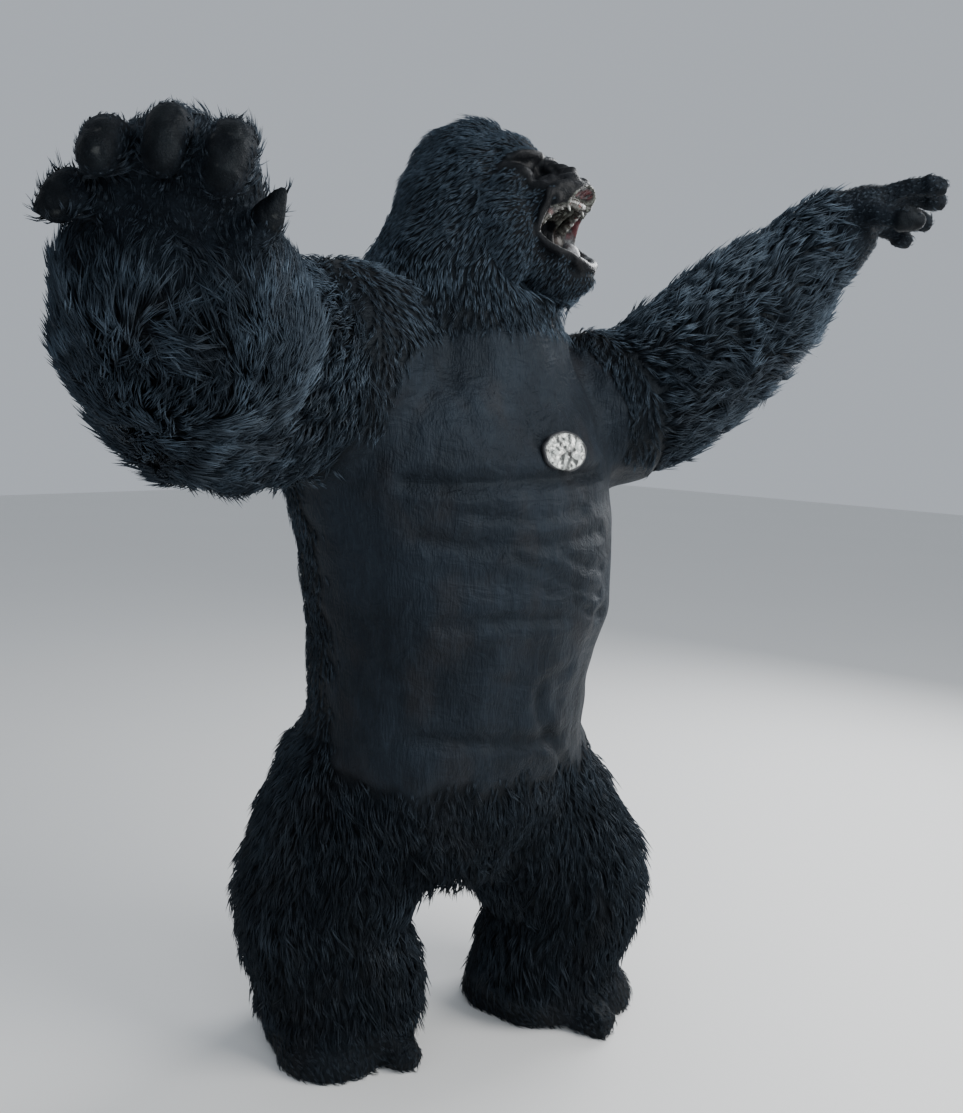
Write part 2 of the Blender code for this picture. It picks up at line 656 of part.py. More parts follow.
def floor_middle(meshes):
    """The point on the floor under the middle of the whole costume's box."""
    places = [v.co for mesh in meshes for v in mesh.vertices]
    low = Vector([min(p[k] for p in places) for k in range(3)])
    high = Vector([max(p[k] for p in places) for k in range(3)])
    return Vector(((low.x + high.x) / 2, (low.y + high.y) / 2, low.z))


def build_costume():
    pieces = {}
    for name, bm in part_body(whole_body()).items():
        pieces[name] = bpy.data.meshes.new(name)
        bm.to_mesh(pieces[name])
        bm.free()
    set_in = {
        "upper_teeth": (solid_from(upper_teeth, 0.0030, 250), "face_mask"),
        "lower_teeth": (solid_from(lower_teeth, 0.0030, 250), "jaw"),
        "tongue": (solid_from(tongue, 0.0040, 110), "jaw"),
        "eye_right": (mesh_from(eye("right")), "face_mask"),
        "eye_left": (mesh_from(eye("left")), "face_mask"),
        "chest_disc": (mesh_from(chest_disc), "chest"),
    }
    for name, (mesh, host) in set_in.items():
        pieces[host] = cut_away(pieces[host], grown(mesh, GAP))
        pieces[name] = mesh
    finishes = {
        "black_fur": plain_material("black_fur", (0.012, 0.013, 0.016), 0.80),
        "black_plush": plain_material("black_plush", (0.010, 0.011, 0.014), 0.55),
        "mask_rubber": plain_material("mask_rubber", (0.015, 0.016, 0.018), 0.35),
        "upper_teeth": plain_material("teeth", (0.33, 0.31, 0.26), 0.25),
        "tongue": plain_material("tongue", (0.060, 0.035, 0.035), 0.30),
        "eye": plain_material("eye", (0.030, 0.018, 0.010), 0.10),
        "chest_disc": plain_material("window", (0.55, 0.57, 0.58), 0.20),
    }
    finishes["lower_teeth"] = finishes["upper_teeth"]
    middle = floor_middle(pieces.values())
    for name, mesh in pieces.items():
        mesh.transform(Matrix.Translation(-middle))
        stem = name.removesuffix("_right").removesuffix("_left")
        finish = finishes.get(PIECE_FINISH.get(stem, stem), finishes["black_fur"])
        mesh.materials.clear()
        mesh.materials.append(finish)
        add_object(name, mesh)


clear_scene()
build_costume()
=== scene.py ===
"""Gorilla costume: the coat, mask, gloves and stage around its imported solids.

Laid out as a Blender add-on and run as a script. The suit body is one padded skin under a
coat of tufts; the mask, eyes, teeth, tongue, gloves and chest window are pieces of their own.
"""
import json
from math import cos, pi, radians, sin

import bmesh
import bpy
import numpy as np
from bpy.props import FloatProperty, FloatVectorProperty, PointerProperty
from mathutils import Euler, Matrix, Vector, noise
from mathutils.bvhtree import BVHTree
from mathutils.kdtree import KDTree

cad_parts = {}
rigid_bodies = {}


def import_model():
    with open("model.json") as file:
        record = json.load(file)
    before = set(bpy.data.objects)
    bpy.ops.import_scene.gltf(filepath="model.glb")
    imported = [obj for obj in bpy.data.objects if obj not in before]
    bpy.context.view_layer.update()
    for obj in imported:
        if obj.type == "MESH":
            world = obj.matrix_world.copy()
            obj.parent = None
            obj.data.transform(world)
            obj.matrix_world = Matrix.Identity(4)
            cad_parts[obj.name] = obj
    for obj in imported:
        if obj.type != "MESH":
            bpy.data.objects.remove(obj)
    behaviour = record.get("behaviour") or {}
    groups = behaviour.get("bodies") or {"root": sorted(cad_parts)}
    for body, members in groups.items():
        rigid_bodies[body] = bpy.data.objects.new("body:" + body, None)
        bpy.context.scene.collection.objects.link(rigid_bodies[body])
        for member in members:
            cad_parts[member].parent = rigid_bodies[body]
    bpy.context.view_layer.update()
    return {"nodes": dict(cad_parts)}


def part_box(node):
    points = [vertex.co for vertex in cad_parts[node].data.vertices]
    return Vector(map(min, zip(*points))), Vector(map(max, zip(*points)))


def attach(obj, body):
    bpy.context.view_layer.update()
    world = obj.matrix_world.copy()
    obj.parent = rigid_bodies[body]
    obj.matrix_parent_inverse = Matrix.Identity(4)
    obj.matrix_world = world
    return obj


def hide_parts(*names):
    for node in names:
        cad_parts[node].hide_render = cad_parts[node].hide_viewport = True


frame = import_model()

bl_info = {
    "name": "Gorilla Costume Looks",
    "version": (1, 0, 0),
    "blender": (4, 5, 0),
    "location": "3D View > Sidebar > Costume",
    "description": "Fur coat, moulded mask, plush gloves and stage around a costume's solids",
    "category": "Object",
}

BODY = "root"

# ---------------------------------------------------------------- places on the costume, in metres
EYE_IN_HEAD = Vector((0.0, -0.136, 0.02))         # midway between the eyes, in the head's own frame
EYE_RADIUS = 0.0178
HEAD_YAW = 22.0                                   # degrees, to its left
HEAD_PITCH = 20.0                                 # degrees, chin up


def middle_of(*nodes):
    """Middle of the box around these nodes."""
    corners = [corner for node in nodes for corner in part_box(node)]
    low = Vector([min(c[k] for c in corners) for k in range(3)])
    high = Vector([max(c[k] for c in corners) for k in range(3)])
    return (low + high) / 2


HEAD_TURN = (Matrix.Rotation(radians(HEAD_YAW), 4, "Z")
             @ Matrix.Rotation(-radians(HEAD_PITCH), 4, "X"))
HEAD = Matrix.Translation(middle_of("eye_right", "eye_left") - HEAD_TURN @ EYE_IN_HEAD) @ HEAD_TURN

# each coat piece: the solids that it covers and its number of tufts
COATS = {
    "coat_head": (("head",), 2300),
    "coat_neck": (("neck",), 2000),
    "coat_upper_arm_right": (("upper_arm_right",), 1900),
    "coat_forearm_right": (("forearm_right",), 2950),
    "coat_arm_left": (("upper_arm_left", "forearm_left"), 3300),
    "coat_chest": (("chest",), 2500),
    "coat_belly": (("belly",), 1800),
    "coat_hips": (("pelvis",), 2000),
    "coat_thigh_right": (("thigh_right",), 1700),
    "coat_thigh_left": (("thigh_left",), 1600),
    "coat_shin_right": (("shin_right", "foot_right", "big_toe_right"), 2500),
    "coat_shin_left": (("shin_left", "foot_left", "big_toe_left"), 2300),
}
SUIT_NODES = [node for nodes, _ in COATS.values() for node in nodes]
SLEEVE_NODES = [*SUIT_NODES, "hand_right", "hand_left"]
SLEEVE = 0.02                                     # how far the suit runs into the gloves
FINGERS = ("little", "ring", "middle", "index", "thumb")

# pile by part: tuft length, how far it stands up (0 flat, 1 on end), depth of its roots and the
# half width of a tuft
PILE = {
    "head": (0.036, 0.2, 0.012, 0.0042),
    "neck": (0.046, 0.24, 0.017, 0.0048),
    "upper": (0.062, 0.34, 0.023, 0.0056),
    "forearm": (0.062, 0.36, 0.023, 0.0056),
    "chest": (0.036, 0.26, 0.012, 0.0048),
    "belly": (0.034, 0.24, 0.01, 0.0048),
    "pelvis": (0.052, 0.28, 0.018, 0.0054),
    "thigh": (0.066, 0.32, 0.023, 0.0058),
    "shin": (0.062, 0.3, 0.021, 0.0056),
    "hand": (0.062, 0.36, 0.023, 0.0056),
    "foot": (0.024, 0.2, 0.007, 0.0036),
    "big": (0.02, 0.2, 0.006, 0.0034),
}
PANEL_PILE = (0.022, 0.13, 0.004, 0.003)          # short plush of the front panel
PANEL_BOTTOM = 0.665
PANEL_SIDE = 0.15                                 # the plush ends this far behind the middle
# upper edge of the front panel: across, height
PANEL_TOP = ((-0.335, 1.38), (-0.324, 1.471), (-0.298, 1.519), (-0.251, 1.558), (-0.176, 1.59),
             (0.0, 1.612), (0.2, 1.612), (0.271, 1.59), (0.29, 1.5), (0.33, 1.32))

# folds of the front panel: places (across, height), depth and half width
FOLDS = (
    (((-0.3, 1.298), (-0.233, 1.294), (-0.133, 1.299), (0.025, 1.303), (0.195, 1.316)),
     0.011, 0.013),
    (((-0.279, 1.19), (-0.195, 1.174), (-0.044, 1.172), (0.161, 1.184)), 0.008, 0.014),
    (((-0.19, 1.235), (-0.06, 1.222), (0.1, 1.232)), 0.005, 0.01),
    (((-0.23, 1.018), (-0.1, 1.024), (0.013, 1.019), (0.19, 1.004)), 0.007, 0.013),
    (((-0.26, 0.78), (-0.186, 0.772), (-0.06, 0.762), (0.08, 0.748)), 0.008, 0.015),
    (((-0.1, 1.148), (-0.02, 1.112), (0.08, 1.068), (0.16, 1.05)), 0.007, 0.01),
    (((-0.07, 1.1), (0.02, 1.066), (0.12, 1.02)), 0.006, 0.009),
    (((0.02, 1.15), (0.09, 1.12), (0.17, 1.105)), 0.005, 0.009),
    (((-0.015, 0.86), (-0.002, 0.8), (0.06, 0.725), (0.12, 0.66)), 0.008, 0.012),
    (((-0.12, 0.9), (-0.04, 0.88), (0.08, 0.9)), 0.004, 0.012),
    (((0.036, 1.42), (0.01, 1.39), (-0.03, 1.376)), 0.006, 0.008),
    (((-0.16, 1.59), (-0.19, 1.48), (-0.17, 1.38)), 0.004, 0.014),
    (((0.2, 1.56), (0.23, 1.47), (0.215, 1.38)), 0.005, 0.014),
)

# how finely each skin is made, and the lowest height that fur and cloth reach
SUIT_VOXEL, GLOVE_VOXEL, TEETH_VOXEL, TONGUE_VOXEL = 0.009, 0.005, 0.0021, 0.0022
MASK_BLOCK_VOXEL, MASK_HOLLOW_VOXEL, MASK_VOXEL = 0.0032, 0.0024, 0.003
SKIN_FLOOR, FUR_FLOOR = 0.0012, 0.001
SIDES = ("right", "left")
BLACK = (0.0, 0.0, 0.0)
COOL_GLOSS = (0.72, 0.86, 1.0)                    # tint of the shine on the fur


# ---------------------------------------------------------------- nodes
class Value:
    """A socket of a node tree. Arithmetic on it adds the Math nodes."""

    def __init__(self, tree, socket):
        self.tree, self.socket = tree, socket

    def math(self, operation, *parts):
        return self.tree.node("ShaderNodeMath", {"operation": operation}, dict(enumerate(parts)))

    def __add__(self, other):
        return self.math("ADD", self, other)

    def __sub__(self, other):
        return self.math("SUBTRACT", self, other)

    def __rsub__(self, other):
        return self.math("SUBTRACT", other, self)

    def __mul__(self, other):
        return self.math("MULTIPLY", self, other)

    __radd__, __rmul__ = __add__, __mul__

    def between(self, low, high):
        """Eased from 0 at low to 1 at high."""
        return self.tree.node("ShaderNodeMapRange", {"interpolation_type": "SMOOTHSTEP"},
                              {"Value": self, "From Min": low, "From Max": high})

    def of(self, name):
        """Another output of the node that this value comes from."""
        return Value(self.tree, self.tree.pick(self.socket.node.outputs, name))


class Tree:
    """A shader or geometry node tree and the one way that nodes are added to it."""

    def __init__(self, tree):
        self.tree = tree

    @staticmethod
    def pick(sockets, name):
        if isinstance(name, int):
            return sockets[name]
        return next(s for s in sockets if s.enabled and name in (s.name, s.identifier))

    def feed(self, socket, value):
        """Link a value into a socket, or set the socket to it."""
        if isinstance(value, Value):
            self.tree.links.new(value.socket, socket)
        else:
            rgb = socket.type == "RGBA" and len(value) == 3
            socket.default_value = (*value, 1.0) if rgb else value

    def node(self, kind, settings=None, inputs=None, out=None):
        node = self.tree.nodes.new(kind)
        for name, value in (settings or {}).items():
            setattr(node, name, value)
        for name, value in (inputs or {}).items():
            self.feed(self.pick(node.inputs, name), value)
        if out is None:
            out = next((i for i, s in enumerate(node.outputs) if s.enabled), 0)
        return Value(self, self.pick(node.outputs, out)) if node.outputs else node


class Finish(Tree):
    """A material on the Principled shader, coloured by nodes."""

    def __init__(self, name):
        self.material = bpy.data.materials.new(name)
        self.material.use_nodes = True
        super().__init__(self.material.node_tree)
        self.place = self.node("ShaderNodeTexCoord", out="Object")
        self.height = self.node("ShaderNodeSeparateXYZ", {}, {0: self.place}, "Z")

    def done(self, **sockets):
        """The material, with these sockets of its shader fed."""
        shader = self.tree.nodes["Principled BSDF"]
        for name, value in sockets.items():
            self.feed(shader.inputs[name.replace("_", " ")], value)
        return self.material

    def noise(self, scale, detail, at=None, distortion=0.0):
        return self.node("ShaderNodeTexNoise", {}, {
            "Vector": at or self.place, "Scale": scale, "Detail": detail,
            "Distortion": distortion}, "Fac")

    def patches(self, scale, detail, low, high, at=None, distortion=0.0):
        """Noise eased from 0 at low to 1 at high."""
        return self.noise(scale, detail, at, distortion).between(low, high)

    def cells(self, scale, feature="F1"):
        return self.node("ShaderNodeTexVoronoi", {"feature": feature},
                         {"Vector": self.place, "Scale": scale}, "Distance")

    def stretched(self, scale):
        return self.node("ShaderNodeMapping", {}, {"Vector": self.place, "Scale": scale})

    def read(self, *names):
        """The stored shares of these names."""
        return [self.node("ShaderNodeAttribute", {"attribute_name": n}, out="Fac") for n in names]

    def mix(self, a, b, share):
        return self.node("ShaderNodeMix", {"data_type": "RGBA"},
                         {"Factor": share, "A": a, "B": b}, "Result")

    def bump(self, height, depth, strength, over=None):
        inputs = {"Height": height, "Distance": depth, "Strength": strength}
        if over:
            inputs["Normal"] = over
        return self.node("ShaderNodeBump", {}, inputs)


# ---------------------------------------------------------------- meshes
def made_object(name, mesh, material=None):
    thing = bpy.data.objects.new(name, mesh)
    bpy.context.scene.collection.objects.link(thing)
    if material:
        mesh.materials.clear()
        mesh.materials.append(material)
    return thing


def baked(thing):
    """The evaluated mesh of an object, which goes, as a plain mesh."""
    graph = bpy.context.evaluated_depsgraph_get()
    mesh = bpy.data.meshes.new_from_object(thing.evaluated_get(graph))
    bpy.data.objects.remove(thing, do_unlink=True)
    return mesh


def from_bmesh(bm, name="mesh"):
    mesh = bpy.data.meshes.new(name)
    bm.to_mesh(mesh)
    bm.free()
    return mesh


def to_bmesh(mesh):
    bm = bmesh.new()
    bm.from_mesh(mesh)
    return bm


def rows(items, key, kind=np.float32, width=3):
    """One value of each item, as the rows of an array."""
    out = np.empty(len(items) * width, kind)
    items.foreach_get(key, out)
    return out.reshape(-1, width)


def points_of(mesh):
    return rows(mesh.vertices, "co").astype(float)


def normals_of(mesh):
    return rows(mesh.vertices, "normal").astype(float)


def edges_of(mesh):
    return rows(mesh.edges, "vertices", np.int32, 2)


def set_points(mesh, points):
    mesh.vertices.foreach_set("co", points.astype(np.float32).ravel())
    mesh.update()


def set_smooth(mesh):
    mesh.polygons.foreach_set("use_smooth", [True] * len(mesh.polygons))
    mesh.update()


def in_place(mesh):
    """A mesh made in the head's own frame, moved to the head."""
    mesh.transform(HEAD)
    set_smooth(mesh)
    return mesh


def store(mesh, **values):
    """Store a share or a vector at each vertex, by name."""
    for name, array in values.items():
        array = np.asarray(array, np.float32)
        kind, key = ("FLOAT_VECTOR", "vector") if array.ndim == 2 else ("FLOAT", "value")
        mesh.attributes.new(name, kind, "POINT").data.foreach_set(key, array.ravel())


def eased(values, edges, rounds, share=0.5):
    """Each vertex's value drawn towards the mean of its neighbours'."""
    values = np.array(values, float)
    flat = values.reshape(len(values), -1)
    count = np.maximum(np.bincount(edges.ravel(), minlength=len(flat)), 1)
    a, b = edges.T
    for _ in range(rounds):
        for k in range(flat.shape[1]):
            total = np.bincount(a, flat[b, k], len(flat)) + np.bincount(b, flat[a, k], len(flat))
            flat[:, k] += share * (total / count - flat[:, k])
    return flat.reshape(values.shape)


def unit(vectors):
    return vectors / np.maximum(np.linalg.norm(vectors, axis=-1, keepdims=True), 1e-9)


def soft_normals(mesh, edges, rounds):
    return unit(eased(normals_of(mesh), edges, rounds))


def ramp(values, low, high):
    """Eased from 0 at low to 1 at high."""
    share = np.clip((values - low) / (high - low), 0, 1)
    return share * share * (3 - 2 * share)


def bell(values, width):
    return np.exp(-(values / width) ** 2)


def grain(points, scale, seed=0.0):
    """Smooth noise from -1 to 1 at each point."""
    shift = Vector((seed, seed * 1.7, -seed))
    return np.array([noise.noise(Vector(p) * scale + shift) for p in points])


def swirls(points, scale, seeds):
    """A wandering vector at each point, with a seed for each axis."""
    return np.stack([grain(points, scale, seed) for seed in seeds], 1)


def laid(flow, normals):
    """Directions turned to run along the surface."""
    return unit(flow - normals * (flow * normals).sum(1, keepdims=True))


def line_distance(points, line):
    """Distance from each point to a bent line, in two or three dimensions."""
    best = np.full(len(points), 1e9)
    for start, end in zip(np.array(line[:-1], float), np.array(line[1:], float)):
        run = end - start
        along = np.clip(((points - start) @ run) / (run @ run), 0, 1)
        best = np.minimum(best, np.linalg.norm(points - start - along[:, None] * run, axis=1))
    return best


def sliced(bm, geom, place, gone):
    """Cut off what lies past a place. Gives the faces that close the cut."""
    cuts = bmesh.ops.bisect_plane(bm, geom=geom, plane_co=place, plane_no=gone, clear_outer=True)
    rim = [e for e in cuts["geom_cut"] if isinstance(e, bmesh.types.BMEdge)]
    return bmesh.ops.holes_fill(bm, edges=rim, sides=0)["faces"]


def split(bm, faces):
    """Split these faces into triangles and turn every face outwards."""
    bmesh.ops.triangulate(bm, faces=faces)
    bmesh.ops.recalc_face_normals(bm, faces=bm.faces)


def large_faces(bm):
    return [f for f in bm.faces if len(f.verts) > 4]


def trimmed(mesh, near, place, gone):
    """The mesh cut off square at a place, only among the vertices near it, and closed again. Also
    gives, for each vertex, the one of the whole mesh that it lies nearest to."""
    tree = KDTree(len(mesh.vertices))
    for vertex in mesh.vertices:
        tree.insert(vertex.co, vertex.index)
    tree.balance()
    bm = to_bmesh(mesh)
    faces = [f for f in bm.faces if all(near[v.index] for v in f.verts)]
    geom = [*faces, *dict.fromkeys(e for f in faces for e in f.edges),
            *dict.fromkeys(v for f in faces for v in f.verts)]
    split(bm, sliced(bm, geom, place, gone))
    index = np.array([tree.find(v.co)[1] for v in bm.verts])
    return from_bmesh(bm), index


def wrist(side):
    """Where the glove begins: its place, and the direction from the forearm to the hand."""
    palm = middle_of(f"hand_{side}")
    reach = (palm - middle_of(f"forearm_{side}")).normalized()
    start = min((v.co - palm).dot(reach) for v in frame["nodes"][f"hand_{side}"].data.vertices)
    return palm + reach * start, reach


def merged_nodes(nodes, grow=0.0012):
    """One mesh of these solids' copies, merged and grown a little so that neighbours overlap."""
    bm = bmesh.new()
    for node in nodes:
        part = to_bmesh(frame["nodes"][node].data)
        bmesh.ops.remove_doubles(part, verts=part.verts, dist=1e-5)
        part.normal_update()
        for vertex in part.verts:
            vertex.co += vertex.normal * grow
        joined = from_bmesh(part)
        bm.from_mesh(joined)
        bpy.data.meshes.remove(joined)
    return from_bmesh(bm)


def remeshed(mesh, voxel):
    thing = made_object("blank", mesh)
    melt = thing.modifiers.new("melt", "REMESH")
    melt.mode, melt.voxel_size = "VOXEL", voxel
    return largest(baked(thing))


def largest(mesh):
    """Only the largest connected part of a mesh."""
    bm = to_bmesh(mesh)
    unseen, best = set(bm.verts), []
    while unseen:
        seed = unseen.pop()
        island, queue = [seed], [seed]
        while queue:
            for edge in queue.pop().link_edges:
                for vertex in edge.verts:
                    if vertex in unseen:
                        unseen.remove(vertex)
                        island.append(vertex)
                        queue.append(vertex)
        best = max(best, island, key=len)
    kept = set(best)
    bmesh.ops.delete(bm, geom=[v for v in bm.verts if v not in kept], context="VERTS")
    return from_bmesh(bm)


def nearest_node(points, nodes):
    """For each point, the index of the solid nearest to it."""
    corners, faces, owner = [], [], []
    for index, node in enumerate(nodes):
        mesh = frame["nodes"][node].data
        start = len(corners)
        corners += [v.co.copy() for v in mesh.vertices]
        faces += [[start + i for i in p.vertices] for p in mesh.polygons]
        owner += [index] * len(mesh.polygons)
    tree = BVHTree.FromPolygons(corners, faces)
    return np.array([owner[tree.find_nearest(Vector(p))[2]] for p in points])


def turned(centre, turn):
    """A place turned by degrees about X, Y and Z."""
    return Matrix.Translation(centre) @ Euler([radians(a) for a in turn]).to_matrix().to_4x4()


def ellipsoid(bm, centre, radii, turn=(0, 0, 0)):
    bmesh.ops.create_icosphere(bm, subdivisions=4, radius=1.0,
                               matrix=turned(centre, turn) @ Matrix.Diagonal((*radii, 1.0)))


def smooth_path(points, steps):
    """A rounded line through the points."""
    points = [np.array(p, float) for p in points]
    ends = [2 * points[0] - points[1], *points, 2 * points[-1] - points[-2]]
    out = []
    for a, b, c, d in zip(ends, ends[1:], ends[2:], ends[3:]):
        for i in range(steps):
            t = i / steps
            out.append(0.5 * (2 * b + (c - a) * t + (2 * a - 5 * b + 4 * c - d) * t * t
                              + (3 * b - a - 3 * c + d) * t ** 3))
    return out + [points[-1]]


def ring(bm, count, place):
    """A ring of vertices, from a function of the angle."""
    return [bm.verts.new(place(2 * pi * k / count)) for k in range(count)]


def walls(bm, rings, tips=()):
    """The faces between one ring and the next, and the fans that close both ends at their tips."""
    for one, two in zip(rings, rings[1:]):
        for k in range(len(one)):
            bm.faces.new((one[k - 1], one[k], two[k], two[k - 1]))
    for k in range(len(rings[0]) if tips else 0):
        bm.faces.new((rings[0][k], rings[0][k - 1], tips[0]))
        bm.faces.new((rings[-1][k - 1], rings[-1][k], tips[1]))


def tube(bm, stations):
    """A closed round tube through (x, y, z, radius) stations with rounded ends."""
    path, rings, side = smooth_path(stations, 5), [], None
    for i, point in enumerate(path):
        run = Vector((path[min(i + 1, len(path) - 1)] - path[max(i - 1, 0)])[:3]).normalized()
        side = side or run.orthogonal()
        side = (side - run * side.dot(run)).normalized()
        up, middle, radius = run.cross(side), Vector(point[:3]), float(point[3])
        rings.append(ring(bm, 16, lambda a: middle + radius * (side * cos(a) + up * sin(a))))
    tips = []
    for end, before in ((path[0], path[1]), (path[-1], path[-2])):
        run = Vector((end - before)[:3]).normalized()
        tips.append(bm.verts.new(Vector(end[:3]) + run * float(end[3]) * 0.8))
    walls(bm, rings, tips)


def mirrored(half):
    return [(-x, y, z) for x, y, z in reversed(half)][:-1] + list(half)


def to_frame(matrix, points):
    turn = np.array(matrix.inverted())
    return points @ turn[:3, :3].T + turn[:3, 3]


# ---------------------------------------------------------------- the coat's colour and lie
def fur_colour(finish, settings):
    """Blue-black fur with greyer and browner drifts, and painted light that makes it paler higher
    up, towards the shoulders.
    """
    drift = finish.patches(5.5, 3.0, 0.4, 0.64, distortion=0.5)
    brown = finish.patches(8.0, 3.0, 0.5, 0.68, finish.stretched((1, 1, 0.7)))
    # the drift colour also stands for painted light: its share rises with height
    cool = finish.mix(settings.deep_colour, settings.drift_and_light_colour,
                      drift * 0.55 + finish.height.between(0.45, 1.7) * 0.45)
    return finish.mix(cool, settings.warm_colour, brown * 0.55)


def coat_finish(settings, name="coat_fur", light=1.0):
    """Tufts with painted shade at the root and along the blades' edges, and painted highlight
    towards the tips, strongest higher up and on the crown.
    """
    finish = Finish(name)
    along, tone, edge, plush = finish.read("along", "tone", "edge", "plush")
    rise, crown = finish.height.between(0.45, 1.7), finish.height.between(1.5, 1.8)
    # patches of painted highlight on the fur's clumps, which also vary its roughness
    patchy = finish.patches(13.0, 3.0, 0.45, 0.66, distortion=0.9)
    # painted highlight: paler towards the tips, more of it higher up, on the crown, in the clumps
    # and where plush is set
    lit = along.between(0.0, 0.8) * (0.1 + rise * 0.15 + crown * 0.28 + tone * 0.1
                                     + patchy * (0.16 + rise * 0.46))
    colour = finish.mix(fur_colour(finish, settings), settings.tip_and_highlight_colour,
                        lit * (1 + plush * 0.8) * light)
    # painted shade at the roots and along the blades' edges, less of it higher up and where plush
    # is set
    dark = (1 - along.between(0.0, 0.5)) * 0.22 + edge * 0.12
    dark = dark * (1 - plush * 0.7) * (1 - rise * 0.3 - crown * 0.4)
    return finish.done(Specular_IOR_Level=0.3, Specular_Tint=COOL_GLOSS,
                       Base_Color=finish.mix(colour, BLACK, dark),
                       Roughness=0.54 + tone * 0.22 - patchy * 0.1 + plush * 0.1)


def skin_finish(settings):
    """Short combed plush on the front panel with painted shade in its creases, mixed towards black
    under the long fur as painted shade beneath the tufts.
    """
    finish = Finish("suit_plush")
    plush, crease = finish.read("plush", "crease")
    colour = fur_colour(finish, settings)
    strands = finish.noise(260.0, 4.0, finish.stretched((1, 1, 0.16)))
    combed = finish.noise(38.0, 4.0, finish.stretched((1, 1, 0.3)), 0.8)
    nap = finish.mix(colour, settings.tip_and_highlight_colour, combed.between(0.42, 0.75) * 0.06
                     + strands.between(0.45, 0.75) * 0.075)
    # painted shade in the creases of the folds
    nap = finish.mix(nap, BLACK, crease * 0.55)
    crumpled = finish.noise(19.0, 4.0, finish.stretched((0.7, 1, 1.5)), 1.6)
    deep = finish.bump(combed, 0.006, 0.6, over=finish.bump(crumpled, 0.02, 0.35))
    return finish.done(Specular_IOR_Level=0.17, Specular_Tint=COOL_GLOSS,
                       Sheen_Weight=0.014, Sheen_Roughness=0.35,
                       # under the long fur the skin is mixed towards black: painted shade beneath
                       # the tufts
                       Base_Color=finish.mix(finish.mix(colour, BLACK, 0.7), nap,
                                             plush.between(0.1, 0.8)),
                       Roughness=0.48 + strands * 0.22,
                       Normal=finish.bump(strands, 0.0035, 0.8, over=deep))


def limb_lines():
    """Which way the pile runs on each part: a direction, the pull of gravity, how tangled it is."""
    lines = {name: (Vector((0, 0, -1)), 1.0, 0.6) for name in SUIT_NODES}
    for name in SUIT_NODES:
        if name.startswith(("thigh", "shin", "pelvis")):
            lines[name] = (Vector((0, 0, -1)), 1.0, 0.38)
    for side in SIDES:
        shoulder, fore, hand, shin, foot = (middle_of(f"{part}_{side}") for part in (
            "upper_arm", "forearm", "hand", "shin", "foot"))
        lines[f"upper_arm_{side}"] = ((fore - shoulder).normalized(), 0.55, 1.0)
        lines[f"forearm_{side}"] = lines[f"hand_{side}"] = ((hand - fore).normalized(), 0.1, 1.0)
        lines[f"foot_{side}"] = ((foot - shin + Vector((0, -0.25, 0))).normalized(), 0.15, 0.5)
        lines[f"big_toe_{side}"] = lines[f"foot_{side}"]
    lines["head"] = ((HEAD_TURN @ Vector((0, 1.0, -0.35))).normalized(), 0.45, 0.3)
    lines["neck"] = ((HEAD_TURN @ Vector((0, 0.25, -1.0))).normalized(), 0.7, 0.3)
    return lines


def panel_share(points):
    """1 on the short plush of the front panel, 0 in the long fur."""
    x, y, z = points.T
    top = np.interp(x, *np.array(PANEL_TOP).T)
    wavy = 0.012 * np.sin(31 * z) + 0.01 * np.sin(67 * z + 1.0)
    ragged = 0.012 * np.sin(43 * x) + 0.01 * np.sin(97 * x + 1.0)
    inside = ramp(top - z, -0.01, 0.014)
    inside = inside * ramp(z + ragged, PANEL_BOTTOM - 0.03, PANEL_BOTTOM + 0.04)
    return inside * ramp(PANEL_SIDE + wavy - y, -0.03, 0.04)


